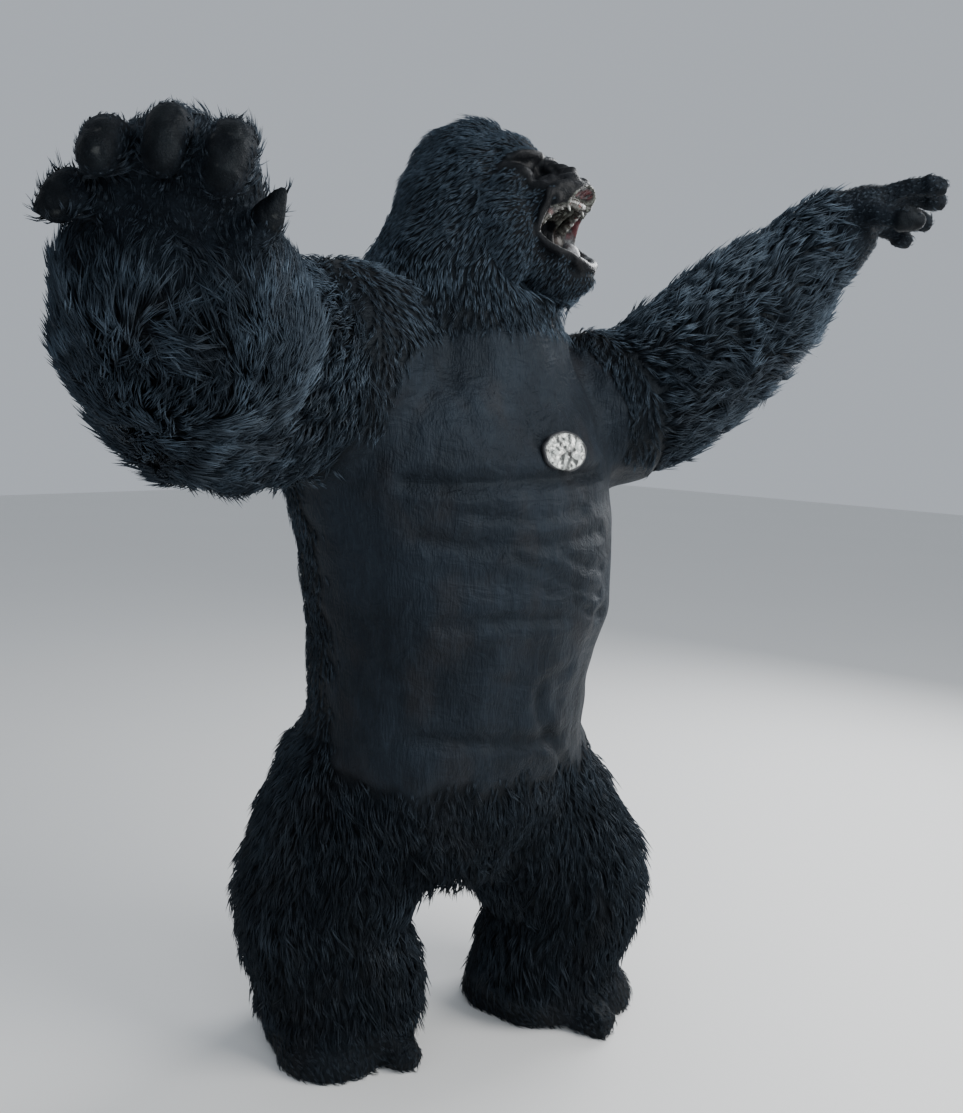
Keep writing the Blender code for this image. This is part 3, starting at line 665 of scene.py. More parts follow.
class Suit:
    """The padded skin's mesh and, at each vertex, its part, plush share, flow and pile."""

    def __init__(self):
        mesh = remeshed(merged_nodes(SLEEVE_NODES), SUIT_VOXEL)
        edges, points = edges_of(mesh), points_of(mesh)
        part = nearest_node(points, SLEEVE_NODES)
        feet = np.array([name.startswith(("foot", "big")) for name in SLEEVE_NODES])[part]
        points = np.where(feet[:, None], eased(points, edges, 3), eased(points, edges, 14))
        set_points(mesh, points)
        normals = soft_normals(mesh, edges, 6)
        plush = np.array([name in ("chest", "belly", "pelvis", "neck") for name in SLEEVE_NODES])
        plush = eased(panel_share(points) * plush[part], edges, 4)
        pile = np.array([PILE[name.split("_")[0]] for name in SLEEVE_NODES])[part]
        pile = eased(pile, edges, 8)
        pile += (np.array(PANEL_PILE) - pile) * plush[:, None]
        ground = ramp(points[:, 2], 0.0, 0.06)
        points -= normals * (pile[:, 2] * ground)[:, None]
        front = plush * ramp(-normals[:, 1], -0.2, 0.2)
        crease = np.zeros(len(points))
        for line, depth, half in FOLDS:
            away = line_distance(points[:, [0, 2]], line)
            front_here = front * (0.75 + 0.45 * grain(points, 9.0, depth * 900))
            rise = 0.55 * bell(away - 2.3 * half, 1.5 * half) - bell(away, 1.15 * half)
            points += normals * (1.25 * depth * front_here * rise)[:, None]
            # share of painted shade in each fold's crease, darker for deeper folds
            crease = np.maximum(crease, front_here * bell(away, half) * depth / 0.011)
        swell = grain(points, 7.0, 3.0) * 0.0045 + grain(points, 17.0, 8.0) * 0.0026
        points += normals * (swell * ground)[:, None]
        points[:, 2] = np.maximum(points[:, 2], SKIN_FLOOR)
        points = eased(points, edges, 1, 0.4)
        set_points(mesh, points)
        normals = soft_normals(mesh, edges, 2)
        flow = self.lie(points, normals, part, plush, edges)
        index = np.arange(len(points))
        for side in SIDES:
            place, reach = wrist(side)
            sleeve = [SLEEVE_NODES.index(f"{piece}_{side}") for piece in ("forearm", "hand")]
            near = np.isin(part[index], sleeve)
            mesh, kept = trimmed(mesh, near, place + reach * SLEEVE, reach)
            index = index[kept]
        set_smooth(mesh)
        self.mesh, self.part, self.plush = mesh, part[index], plush[index]
        self.crease, self.normals = crease[index], normals[index]
        self.pile, self.flow = pile[index], flow[index]

    @staticmethod
    def lie(points, normals, part, plush, edges):
        lines = limb_lines()
        down = np.array((0, 0, -1.0))
        flow = np.array([np.array(lines[n][0]) + lines[n][1] * down for n in SLEEVE_NODES])[part]
        flow = unit(eased(unit(flow), edges, 14))
        tangle = eased(np.array([lines[n][2] for n in SLEEVE_NODES])[part], edges, 14)
        swirl = swirls(points, 5.5, (11.0, 23.0, 37.0))
        wild = ((1 - plush) * tangle)[:, None]
        flow += (wild * (0.9 * swirl + 1.2 * swirls(points, 19.0, (5.0, 9.0, 13.0)))
                 + plush[:, None] * 0.2 * swirl)
        return laid(flow, normals)


def bed_from(mesh, wanted, values, name):
    """The faces whose vertices are wanted, with the values the coat's tree reads and an unwrap."""
    bm = to_bmesh(mesh)
    gone = [f for f in bm.faces if not wanted[[v.index for v in f.verts]].all()]
    index = bm.verts.layers.int.new("came_from")
    for vertex in bm.verts:
        vertex[index] = vertex.index
    bmesh.ops.delete(bm, geom=gone, context="FACES")
    bmesh.ops.delete(bm, geom=[v for v in bm.verts if not v.link_faces], context="VERTS")
    came = np.array([v[index] for v in bm.verts])
    bed = made_object(name + "_bed", from_bmesh(bm))
    store(bed.data, **{key: array[came] for key, array in values.items()})
    bpy.context.view_layer.objects.active = bed
    bpy.ops.object.select_all(action="DESELECT")
    bed.select_set(True)
    bed.data.uv_layers.new(name="unwrap")
    bpy.ops.object.mode_set(mode="EDIT")
    bpy.ops.mesh.select_all(action="SELECT")
    bpy.ops.uv.smart_project(angle_limit=radians(66), island_margin=0.004)
    bpy.ops.object.mode_set(mode="OBJECT")
    return bed


def lock_shapes(seed, count=9, blades=5):
    """Small tufts of tapering blades: length 1 along X, spread 1 in Y, rise 1 in Z."""
    chance = np.random.default_rng(seed)
    group = bpy.data.collections.new(f"locks_{seed}")
    for number in range(count):
        corners, faces, along, edge, patch = [], [], [], [], []
        meet, gather = chance.uniform(-0.7, 0.7), chance.uniform(0.2, 0.8)
        wispy = number % 3 == 2
        for blade in range(blades):
            start = (blade + 0.5) / blades * 2 - 1 + chance.uniform(-0.2, 0.2)
            reach = chance.uniform(0.85, 1.35) if wispy else chance.uniform(0.55, 1.08)
            high, droop = chance.uniform(0.6, 1.2), chance.uniform(0.0, 0.5)
            curl, back = chance.uniform(-0.8, 0.8), chance.uniform(-0.12, 0.12)
            first = len(corners)
            for t, size in ((0.0, 0.85), (0.5, 1.0)):
                x = back + t * reach
                y = start + (meet - start) * gather * t + curl * t * t
                z = -0.14 + (high + 0.14) * (1 - (1 - t) ** 1.8) - droop * t ** 3
                wide = (0.13 if wispy else 0.22) * size
                corners += [(x, y - wide, z - 0.03), (x, y + wide, z - 0.03), (x, y, z + 0.08)]
                along += [t] * 3
                # the blades' side edges, which the coat's finish darkens with painted shade
                edge += [1.0, 1.0, 0.0]
                patch += [(start * 0.5 + k * 0.1, t - 0.5, 0) for k in (-1, 1, 0)]
            tip = meet * gather + start * (1 - gather) + curl
            corners.append((back + reach, tip, high - droop))
            along.append(1.0)
            edge.append(0.4)
            patch.append((start * 0.5, 0.5, 0))
            for a, b in ((0, 1), (1, 2), (2, 0)):
                faces += [(first + b, first + a, first + 3 + a, first + 3 + b),
                          (first + 3 + b, first + 3 + a, first + 6)]
            faces.append((first, first + 1, first + 2))
        mesh = bpy.data.meshes.new(f"lock_{number}")
        mesh.from_pydata(corners, [], faces)
        bm = to_bmesh(mesh)
        bmesh.ops.recalc_face_normals(bm, faces=bm.faces)
        bm.to_mesh(mesh)
        bm.free()
        store(mesh, along=along, edge=edge, patch=patch)
        set_smooth(mesh)
        group.objects.link(bpy.data.objects.new(f"lock_{seed}_{number}", mesh))
    return group


def coat_tree():
    """Geometry nodes that set tufts over a bed, along its flow, at its pile's length."""
    group = bpy.data.node_groups.new("lay_tufts", "GeometryNodeTree")
    for kind, names in (("Geometry", "Bed"), ("Collection", "Locks"), ("Material", "Finish"),
                        ("Float", "Spacing Density Length Width Stray"), ("Int", "Kinds Seed")):
        for name in names.split():
            group.interface.new_socket(name, in_out="INPUT", socket_type="NodeSocket" + kind)
    group.interface.new_socket("Coat", in_out="OUTPUT", socket_type="NodeSocketGeometry")
    tree = Tree(group)
    given = tree.node("NodeGroupInput")

    def read(name, kind="FLOAT_VECTOR"):
        return tree.node("GeometryNodeInputNamedAttribute", {"data_type": kind}, {"Name": name})

    def chance(low, high, seed, kind="FLOAT"):
        return tree.node("FunctionNodeRandomValue", {"data_type": kind},
                         {"Min": low, "Max": high, "Seed": given.of("Seed") + seed})

    def vector(operation, *parts):
        return tree.node("ShaderNodeVectorMath", {"operation": operation}, dict(enumerate(parts)))

    def facing(axis, settings, inputs):
        return tree.node("FunctionNodeAlignRotationToVector", {"axis": axis, **settings}, inputs)

    def stored(kind, domain, geometry, name, value):
        return tree.node("GeometryNodeStoreNamedAttribute", {"data_type": kind, "domain": domain},
                         {"Geometry": geometry, "Name": name, "Value": value})

    roots = tree.node("GeometryNodeDistributePointsOnFaces", {"distribute_method": "POISSON"},
                      {"Mesh": given.of("Bed"), "Distance Min": given.of("Spacing"),
                       "Density Max": given.of("Density"), "Density Factor": read("cover", "FLOAT"),
                       "Seed": given.of("Seed")})
    pile = tree.node("ShaderNodeSeparateXYZ", {}, {0: read("pile")})
    wander = vector("SCALE", chance((-1.0,) * 3, (1.0,) * 3, 1, "FLOAT_VECTOR"))
    tree.feed(wander.socket.node.inputs["Scale"], given.of("Stray"))
    upright = facing("Z", {}, {"Vector": read("rise")})
    turn = facing("X", {"pivot_axis": "Z"},
                  {"Rotation": upright, "Vector": vector("ADD", read("flow"), wander)})
    length = pile.of("X") * given.of("Length") * chance(0.7, 1.2, 2)
    size = tree.node("ShaderNodeCombineXYZ", {}, {
        "X": length, "Y": pile.of("Z") * given.of("Width") * chance(0.8, 1.25, 3),
        "Z": length * pile.of("Y") * chance(0.7, 1.35, 4)})
    kinds = tree.node("GeometryNodeCollectionInfo", {"transform_space": "ORIGINAL"},
                      {"Collection": given.of("Locks"), "Separate Children": True,
                       "Reset Children": True})
    tufts = tree.node("GeometryNodeInstanceOnPoints", {}, {
        "Points": roots, "Instance": kinds, "Pick Instance": True,
        "Instance Index": chance(0, given.of("Kinds"), 5, "INT"), "Rotation": turn, "Scale": size})
    toned = stored("FLOAT", "INSTANCE", tufts, "tone", chance(0.0, 1.0, 6))
    solid = tree.node("GeometryNodeRealizeInstances", {}, {"Geometry": toned})
    spread = vector("MULTIPLY", read("patch"), (0.003, 0.003, 0.0))
    mapped = stored("FLOAT2", "CORNER", solid, "OFBake", vector("ADD", read("unwrap"), spread))
    done = tree.node("GeometryNodeSetMaterial", {},
                     {"Geometry": mapped, "Material": given.of("Finish")})
    tree.node("NodeGroupOutput", {}, {"Coat": done})
    return group


# what the coat's tree and the pieces under it stored, which a finished coat has no use for
SPENT = ("flow", "pile", "rise", "cover", "patch", "unwrap", "id", "came_from", "pad", "fur",
         "inner", "roof", "pale", "rim")


def lay_coat(name, bed, group, locks, finish, tufts, length, width, stray, seed):
    """One coat piece: tufts over the bed, made a plain mesh that rides on the body."""
    cover = bed.data.attributes["cover"].data
    area = sum(p.area * cover[p.vertices[0]].value for p in bed.data.polygons)
    grow = bed.modifiers.new("lay", "NODES")
    grow.node_group = group
    values = {"Locks": locks, "Finish": finish, "Spacing": 0.8 * (area / tufts) ** 0.5,
              "Density": 5.0 * tufts / area, "Length": length, "Width": width, "Stray": stray,
              "Kinds": len(locks.objects) - 1, "Seed": seed}
    for item in group.interface.items_tree:
        if item.name in values:
            grow[item.identifier] = values[item.name]
    mesh = baked(bed)
    for key in SPENT:
        if key in mesh.attributes:
            mesh.attributes.remove(mesh.attributes[key])
    points = points_of(mesh)
    points[:, 2] = np.maximum(points[:, 2], FUR_FLOOR)
    set_points(mesh, points)
    mesh.uv_layers["OFBake"].active = True
    coat = made_object(name, mesh)
    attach(coat, BODY)


# ---------------------------------------------------------------- the mask, in the head's own frame
LIP_RADIUS = 0.0105
MOUTH_CORNER = (0.092, -0.132, -0.13)
LIP_UPPER = ((0.0, -0.228, -0.073), (0.045, -0.221, -0.056),
             (0.084, -0.186, -0.064), MOUTH_CORNER)
LIP_LOWER = ((0.0, -0.19, -0.212), (0.042, -0.187, -0.203),
             (0.074, -0.168, -0.178), MOUTH_CORNER)
ARCH_UPPER = ((0.0, -0.206, -0.087), (0.036, -0.199, -0.081),
              (0.058, -0.17, -0.087), (0.064, -0.134, -0.104))
ARCH_LOWER = ((0.0, -0.168, -0.2), (0.032, -0.161, -0.195),
              (0.052, -0.136, -0.181), (0.058, -0.106, -0.166))
# the bridge of the nose, as x, y, z and radius
NOSE = ((0, -0.15, 0.024, 0.0225), (0, -0.182, -0.003, 0.0205), (0, -0.209, -0.029, 0.0245))
GUM_RADIUS, TEETH = 0.0098, 14
# the mask's shapes, and those on each side: centre, half sizes, turn in degrees
MASK_SHAPES = (
    ((0, 0.0, 0.01), (0.151, 0.152, 0.155), (0, 0, 0)),
    ((0, 0.015, 0.106), (0.084, 0.128, 0.098), (12, 0, 0)),
    ((0, -0.097, 0.065), (0.095, 0.066, 0.058), (30, 0, 0)),
    ((0, -0.172, -0.056), (0.079, 0.083, 0.046), (22, 0, 0)),
    ((0, -0.11, -0.213), (0.079, 0.093, 0.049), (20, 0, 0)),
    ((0, -0.127, -0.243), (0.052, 0.044, 0.036), (0, 0, 0)),
)
MASK_PAIRS = (
    ((0.05, -0.14, 0.042), (0.06, 0.034, 0.022), (0, 0, 16)),         # brow
    ((0.086, -0.108, -0.014), (0.046, 0.052, 0.04), (0, 0, 0)),         # cheekbone
    ((0.098, -0.055, -0.1), (0.062, 0.095, 0.12), (0, 0, 0)),         # cheek
    ((0.067, -0.138, -0.062), (0.039, 0.069, 0.041), (12, 0, 0)),        # side of the muzzle
    ((0.028, -0.213, -0.041), (0.021, 0.023, 0.017), (0, 0, 0)),         # nostril wing
    ((0.08, -0.104, -0.146), (0.028, 0.039, 0.078), (-12, 0, 0)),       # mouth corner
    ((0.068, -0.142, -0.193), (0.024, 0.046, 0.026), (15, 0, 0)),        # under the lower lip
    ((0.047, -0.134, 0.02), (0.0235, 0.0225, 0.0205), (0, 0, 0)),       # lids
)
# how far the bare rubber reaches to each side, by height
BARE = ((-0.25, 0.016), (-0.236, 0.026), (-0.215, 0.044), (-0.19, 0.06), (-0.16, 0.074),
        (-0.13, 0.082), (-0.09, 0.08), (-0.05, 0.08), (-0.02, 0.096), (0.0, 0.112),
        (0.026, 0.116), (0.046, 0.1), (0.06, 0.06), (0.07, 0.04))
# painted highlight: the brow's shiny edge and the lighter wrinkled patch beside the eye
BROW_LINE = ((0.112, -0.118, 0.026), (0.074, -0.163, 0.05),
             (0.034, -0.174, 0.05), (0.01, -0.176, 0.03))
EYE_PATCH = ((0.096, -0.118, 0.012), (0.088, -0.132, -0.006), (0.066, -0.15, -0.006))
# grooves on each side of the mask: places, depth and half width
MASK_GROOVES = (
    (((0.022, -0.18, 0.016), (0.026, -0.192, -0.008), (0.052, -0.196, -0.036)), 0.0035, 0.005),
    (((0.054, -0.206, -0.04), (0.086, -0.168, -0.052), (0.106, -0.132, -0.09)), 0.0055, 0.007),
    (((0.02, -0.18, 0.04), (0.03, -0.182, 0.026), (0.04, -0.176, 0.008)), 0.003, 0.0045),
    (((0.03, -0.172, -0.002), (0.056, -0.16, -0.004), (0.08, -0.146, 0.006)), 0.003, 0.0048),
    (((0.046, -0.178, -0.022), (0.074, -0.162, -0.026), (0.1, -0.136, -0.014)), 0.0026, 0.0055),
    (((0.0, -0.176, 0.058), (0.04, -0.172, 0.066), (0.08, -0.14, 0.058)), 0.003, 0.005),
    (((0.0, -0.168, 0.078), (0.036, -0.16, 0.084), (0.07, -0.14, 0.076)), 0.0022, 0.0048),
    (((0.104, -0.11, -0.1), (0.112, -0.105, -0.15), (0.1, -0.11, -0.2)), 0.004, 0.0075),
    (((0.09, -0.15, -0.196), (0.07, -0.16, -0.226), (0.03, -0.172, -0.252)), 0.0035, 0.0065),
)
# the open mouth, the opening between the lips, the throat and the mouth's corners: centre, half
# sizes, turn in degrees
HOLLOWS = (
    ((0, -0.188, -0.137), (0.076, 0.081, 0.058), (22, 0, 0)),
    ((0, -0.233, -0.138), (0.096, 0.058, 0.078), (17, 0, 0)),
    ((0, -0.118, -0.146), (0.054, 0.07, 0.044), (20, 0, 0)),
    *(((side * 0.06, -0.178, -0.131), (0.035, 0.064, 0.047), (20, 0, 0)) for side in (-1, 1)),
)


def sculpted(shapes, voxel):
    """One skin around the shapes that a function makes."""
    bm = bmesh.new()
    shapes(bm)
    return remeshed(from_bmesh(bm), voxel)


def cut(mesh, cutter):
    """The mesh less another."""
    thing, cutter = made_object("block", mesh), made_object("cutter", cutter)
    less = thing.modifiers.new("less", "BOOLEAN")
    less.operation, less.solver, less.object = "DIFFERENCE", "EXACT", cutter
    out = baked(thing)
    bpy.data.objects.remove(cutter, do_unlink=True)
    return out


def mask_block(bm):
    for shape in MASK_SHAPES:
        ellipsoid(bm, *shape)
    for side in (-1, 1):
        for (x, y, z), radii, (rx, ry, rz) in MASK_PAIRS:
            ellipsoid(bm, (side * x, y, z), radii, (rx, ry, side * rz))
    tube(bm, NOSE)
    for lip in (LIP_UPPER, LIP_LOWER):
        tube(bm, [(*p, LIP_RADIUS) for p in mirrored(lip)])


def mask_hollows(bm):
    """The mouth, nostrils and eye openings."""
    for hollow in HOLLOWS:
        ellipsoid(bm, *hollow)
    for side in (-1, 1):
        ellipsoid(bm, (side * 0.026, -0.233, -0.049), (0.011, 0.015, 0.008), (20, 0, side * 24))
        ellipsoid(bm, (side * 0.0475, -0.157, 0.0195), (0.017, 0.018, 0.0094),
                  (0, side * -8, side * 14))


def bare_share(points):
    """0 on the mask's bare rubber, 1 where fur covers it, in the head's frame."""
    x, y, z = points.T
    rim = abs(x) / np.interp(z, *zip(*BARE))
    rim = np.maximum.reduce([rim, 1 + (z - 0.043) / 0.04, 1 + (-0.224 - z) / 0.03])
    rim += 0.04 * np.sin(38 * z) + 0.04 * np.sin(55 * x + 2)
    return ramp(np.maximum(rim, ramp(y, -0.098, -0.07) * 1.6), 0.9, 1.08)


def in_hollows(points, normals, soft=0.06):
    """1 on the wall of a hollow, 0 away from them all or on a surface that faces away."""
    shares = []
    for centre, half, turn in HOLLOWS:
        towards = (unit(np.array(centre) - points) * normals).sum(1)
        size = np.linalg.norm(to_frame(turned(centre, turn), points) / np.array(half), axis=1)
        shares.append(ramp(-size, -1.025 - soft, -1.025) * ramp(towards, 0.0, 0.25))
    return np.maximum.reduce(shares)


def mask_mesh():
    """The mask with, at each vertex, its shares of fur, mouth lining, palate (with painted light
    and shade on its ridges), lip rim (partly painted highlight) and painted highlight.
    """
    hollows = sculpted(mask_hollows, MASK_HOLLOW_VOXEL)
    mesh = remeshed(cut(sculpted(mask_block, MASK_BLOCK_VOXEL), hollows), MASK_VOXEL)
    edges = edges_of(mesh)
    points = eased(points_of(mesh), edges, 5)
    set_points(mesh, points)
    normals = soft_normals(mesh, edges, 3)
    x, y, z = points.T
    folded = np.stack([abs(x), y, z], 1)
    inner = in_hollows(points, normals)
    upper = line_distance(points, mirrored(LIP_UPPER))
    lip = np.minimum(upper, line_distance(points, mirrored(LIP_LOWER)))
    lip = ramp(-lip, -0.015, -0.0115)
    # the lips' inner rim, which the finish makes a paler grey: partly the lips' own colour, partly
    # painted highlight
    rim = lip * in_hollows(points, normals, 0.12)
    patch = bell(line_distance(folded, EYE_PATCH), 0.013) * ramp(grain(points, 70.0), -0.3, 0.3)
    # painted highlight along the brow's edge and on the wrinkled patch beside the eye
    pale = np.maximum(bell(line_distance(folded, BROW_LINE), 0.0042), 0.6 * patch)
    fur = bare_share(points) * (1 - inner) * (1 - lip)
    skinned = (1 - fur) * (1 - inner)
    for line, depth, half in MASK_GROOVES:
        away = line_distance(folded, line)
        lift = 0.5 * depth * bell(away - 2.0 * half, 1.2 * half)
        points += normals * (skinned * (lift - depth * bell(away, half)))[:, None]
    snarl = np.sin(x * 10 + z * 420 + 1.2 * np.sin(x * 60)) * bell(z - 0.006, 0.024)
    snarl *= bell(x, 0.03) * ramp(-y, 0.15, 0.175)
    brow = np.sin(z * 520 + 8 * x * x * 100) * ramp(z, 0.05, 0.062) * ramp(-z, -0.105, -0.085)
    ribs = np.sin(x * 520) * lip * 0.5
    roof = inner * ramp(z, -0.15, -0.118) * ramp(-y, 0.115, 0.15) * (1 - lip)
    ridge = np.sin(upper * 700) * ramp(-normals[:, 2], 0.15, 0.5)
    points += normals * (0.0016 * roof * ridge)[:, None]
    lumps = grain(points, 90.0, 4.0) * 0.9 + grain(points, 38.0, 7.0) * 1.6
    points += normals * (0.0011 * (snarl * 1.5 + brow * 0.7) * skinned + 0.0004 * ribs
                         + 0.0005 * lumps * (1 - lip * 0.5))[:, None]
    points -= normals * (0.01 * fur * ramp(y, -0.23, -0.17) + 0.0015 * fur)[:, None]
    set_points(mesh, eased(points, edges, 1, 0.3))
    # the palate's share is raised on its ridges and lowered between them: painted light and shade
    store(mesh, fur=fur, inner=inner * (1 - lip), rim=rim, pale=pale * (1 - inner),
          roof=roof * (0.45 + 0.55 * ramp(ridge, -0.6, 0.8)))
    mesh.transform(HEAD)
    bm = to_bmesh(mesh)
    sliced(bm, [*bm.verts, *bm.edges, *bm.faces], HEAD @ Vector((0, -0.045, 0)),
           HEAD_TURN @ Vector((0, 1, 0)))
    split(bm, large_faces(bm))
    mesh = from_bmesh(bm, "mask")
    set_smooth(mesh)
    return mesh


def mask_finish(settings):
    finish = Finish("mask_rubber")
    fur, inner, roof, rim, pale = finish.read("fur", "inner", "roof", "rim", "pale")
    blotch = finish.patches(26.0, 4.0, 0.4, 0.7)
    worn = finish.patches(70.0, 3.0, 0.5, 0.75)
    colour = finish.mix(settings.rubber_colour, settings.rubber_light, blotch * 0.5)
    colour = finish.mix(colour, (0.022, 0.026, 0.031), worn * 0.14)
    # painted highlight on the brow's edge and the wrinkled patch beside the eye
    colour = finish.mix(colour, (0.075, 0.09, 0.105), pale * (0.2 + worn * 0.8))
    for dull, bright, scale, low, high, share in (
            ((0.007, 0.005, 0.0045), (0.034, 0.021, 0.018), 55.0, 0.4, 0.75, inner),
            # the palate's own grey-green, with painted light and shade on its ridges
            ((0.036, 0.038, 0.032), (0.23, 0.245, 0.215), 95.0, 0.4, 0.7, roof * 0.8),
            # the lips' inner rim: partly its own colour, partly painted highlight
            ((0.014, 0.014, 0.015), (0.125, 0.13, 0.132), 85.0, 0.42, 0.66, rim * 0.9)):
        flecked = finish.mix(dull, bright, finish.patches(scale, 3.0, low, high))
        colour = finish.mix(colour, flecked, share)
    red = finish.height.between(1.8, 1.815) * rim.between(0.5, 0.95)
    red = red * finish.patches(40.0, 2.0, 0.35, 0.6)
    colour = finish.mix(colour, (0.12, 0.03, 0.034), red * 0.7)
    wrinkles = finish.bump(finish.noise(150.0, 4.0, distortion=1.2), 0.0022, 0.9)
    return finish.done(
        Specular_IOR_Level=0.14, Coat_Roughness=0.22,
        Base_Color=finish.mix(colour, (0.0035, 0.0048, 0.0066), fur * 0.95),
        Roughness=0.42 + blotch * 0.16 + fur * 0.25 - inner * 0.18 - rim * 0.18 - pale * 0.12,
        Coat_Weight=(1 - fur) * (0.02 + rim * 0.3 + inner * 0.35 + pale * 0.5),
        Normal=finish.bump(finish.cells(520.0), 0.0007, 0.5, over=wrinkles))


# ---------------------------------------------------------------- teeth, tongue and eyes
def tooth(bm, root, reach, wide, thick, sharp):
    """A tooth from its root to its tip, rounded or pointed."""
    rings, lean = [], -0.1 * abs(reach) * sharp
    for share, size in ((-0.35, 0.8), (0.0, 0.96), (0.25, 1.0), (0.5, 0.96 - 0.22 * sharp),
                        (0.75, 0.86 - 0.4 * sharp), (0.92, 0.62 - 0.36 * sharp)):
        middle = root + Vector((0, lean * share * share, reach * share))
        rings.append(ring(bm, 12, lambda a: middle + Vector((wide * size * cos(a),
                                                             thick * size * sin(a), 0))))
    walls(bm, rings, [bm.verts.new(root + Vector((0, 0, -0.45 * reach))),
                      bm.verts.new(root + Vector((0, lean, reach)))])


def row_of_teeth(half_arch, point):
    """Gum along an arch with its teeth, which point up (1) or down (-1), as one mesh."""
    arch = smooth_path(mirrored(half_arch), 8)
    lengths = np.cumsum([0.0] + [float(np.linalg.norm(b - a)) for a, b in zip(arch, arch[1:])])
    bm = to_bmesh(sculpted(lambda bm: tube(bm, [(*p, GUM_RADIUS) for p in arch[::4] + [arch[-1]]]),
                           TEETH_VOXEL))
    gum = len(bm.verts)
    for i in range(TEETH):
        along = lengths[-1] * (0.06 + 0.88 * i / (TEETH - 1))
        place = Vector([np.interp(along, lengths, [p[k] for p in arch]) for k in range(3)])
        place += Vector((0, 0, point * 0.002))
        if i in (4, 9):                                      # fangs
            tooth(bm, place, point * 0.018, 0.0058, 0.005, 0.9)
        elif 4 < i < 9:                                      # front teeth
            tooth(bm, place, point * 0.006, 0.0058, 0.005, 0.25)
        else:
            wide, thick = (0.0074, 0.0074) if i < 3 or i > 10 else (0.0058, 0.005)
            tooth(bm, place, point * (0.0095 + 0.001 * sin(i * 2.3)), wide, thick, 0.25)
    bmesh.ops.recalc_face_normals(bm, faces=bm.faces)
    mesh = from_bmesh(bm)
    points, out = points_of(mesh), normals_of(mesh)[:gum]
    root = np.interp(points[:, 0], [p[0] for p in arch], [p[2] for p in arch])
    store(mesh, gum=np.arange(len(points)) < gum,
          tip=ramp(point * (points[:, 2] - root), 0.004, 0.016))
    points[:gum] += out * (0.0009 * np.sin(points[:gum, 0] * 900))[:, None]
    points[:gum] += out * (0.001 * grain(points[:gum], 120.0, 2.0))[:, None]
    set_points(mesh, points)
    return in_place(mesh)


def teeth_finish():
    finish = Finish("teeth_and_gum")
    gum, tip = finish.read("gum", "tip")
    stain = finish.patches(190.0, 3.0, 0.35, 0.7)
    enamel = finish.mix((0.05, 0.047, 0.038), (0.3, 0.31, 0.29), tip)
    enamel = finish.mix(enamel, (0.045, 0.042, 0.034), stain * 0.7)
    flesh = finish.mix((0.022, 0.018, 0.016), (0.1, 0.098, 0.084),
                       finish.patches(90.0, 3.0, 0.35, 0.7))
    flesh = finish.mix(flesh, (0.13, 0.036, 0.034), finish.patches(60.0, 2.0, 0.55, 0.7) * 0.6)
    return finish.done(Specular_IOR_Level=0.6, Coat_Roughness=0.12,
                       Base_Color=finish.mix(enamel, flesh, gum), Roughness=0.22 + stain * 0.14,
                       Coat_Weight=0.35 + gum * 0.35,
                       Normal=finish.bump(finish.noise(420.0, 3.0), 0.0004, 0.6))


def tongue_shape(bm):
    for shape in (((0, -0.122, -0.176), (0.036, 0.042, 0.017), (18, 0, 0)),
                  ((0, -0.148, -0.18), (0.031, 0.026, 0.016), (8, 0, 0)),
                  ((0, -0.164, -0.168), (0.026, 0.014, 0.022), (-14, 0, 0))):
        ellipsoid(bm, *shape)


def tongue_mesh():
    mesh = sculpted(tongue_shape, TONGUE_VOXEL)
    points = eased(points_of(mesh), edges_of(mesh), 5)
    set_points(mesh, points)
    normals = normals_of(mesh)
    groove = 0.0035 * bell(points[:, 0], 0.006) * ramp(normals[:, 2], 0.1, 0.7)
    knobs = 0.0004 * grain(points, 420.0, 6.0) + 0.0007 * grain(points, 150.0, 1.0)
    set_points(mesh, points + normals * (knobs - groove)[:, None])
    return in_place(mesh)


def tongue_finish():
    finish = Finish("tongue")
    patch = finish.patches(75.0, 3.0, 0.3, 0.7)
    return finish.done(Specular_IOR_Level=0.35, Coat_Weight=0.2, Coat_Roughness=0.2,
                       Base_Color=finish.mix((0.03, 0.025, 0.025), (0.095, 0.098, 0.105), patch),
                       Roughness=0.22 + patch * 0.16,
                       Normal=finish.bump(finish.cells(900.0), 0.0005, 0.7))


def facing(centre, direction):
    """A place whose Z axis points this way."""
    return Matrix.Translation(centre) @ direction.to_track_quat("Z", "Y").to_matrix().to_4x4()


def eye_mesh(node):
    """A glassy ball that bulges towards where it looks, with the angle from there stored."""
    def at(a):
        bulge = 1 + 0.035 * max(0.0, 1 - (off / 0.62) ** 2)
        return Vector((sin(off) * cos(a), sin(off) * sin(a), cos(off))) * EYE_RADIUS * bulge

    bm, rings, look, last = bmesh.new(), [], [], 28
    for k in range(last + 1):
        off = pi * k / last
        rings.append(ring(bm, 40 if 0 < k < last else 1, at))
        look += [off] * len(rings[-1])
    walls(bm, rings[1:-1], (rings[0][0], rings[-1][0]))
    bmesh.ops.recalc_face_normals(bm, faces=bm.faces)
    gaze = (HEAD_TURN @ Vector((0, -1, -0.06))).normalized()
    bmesh.ops.transform(bm, matrix=facing(middle_of(node), gaze), verts=bm.verts)
    mesh = from_bmesh(bm)
    store(mesh, look=look)
    set_smooth(mesh)
    return mesh


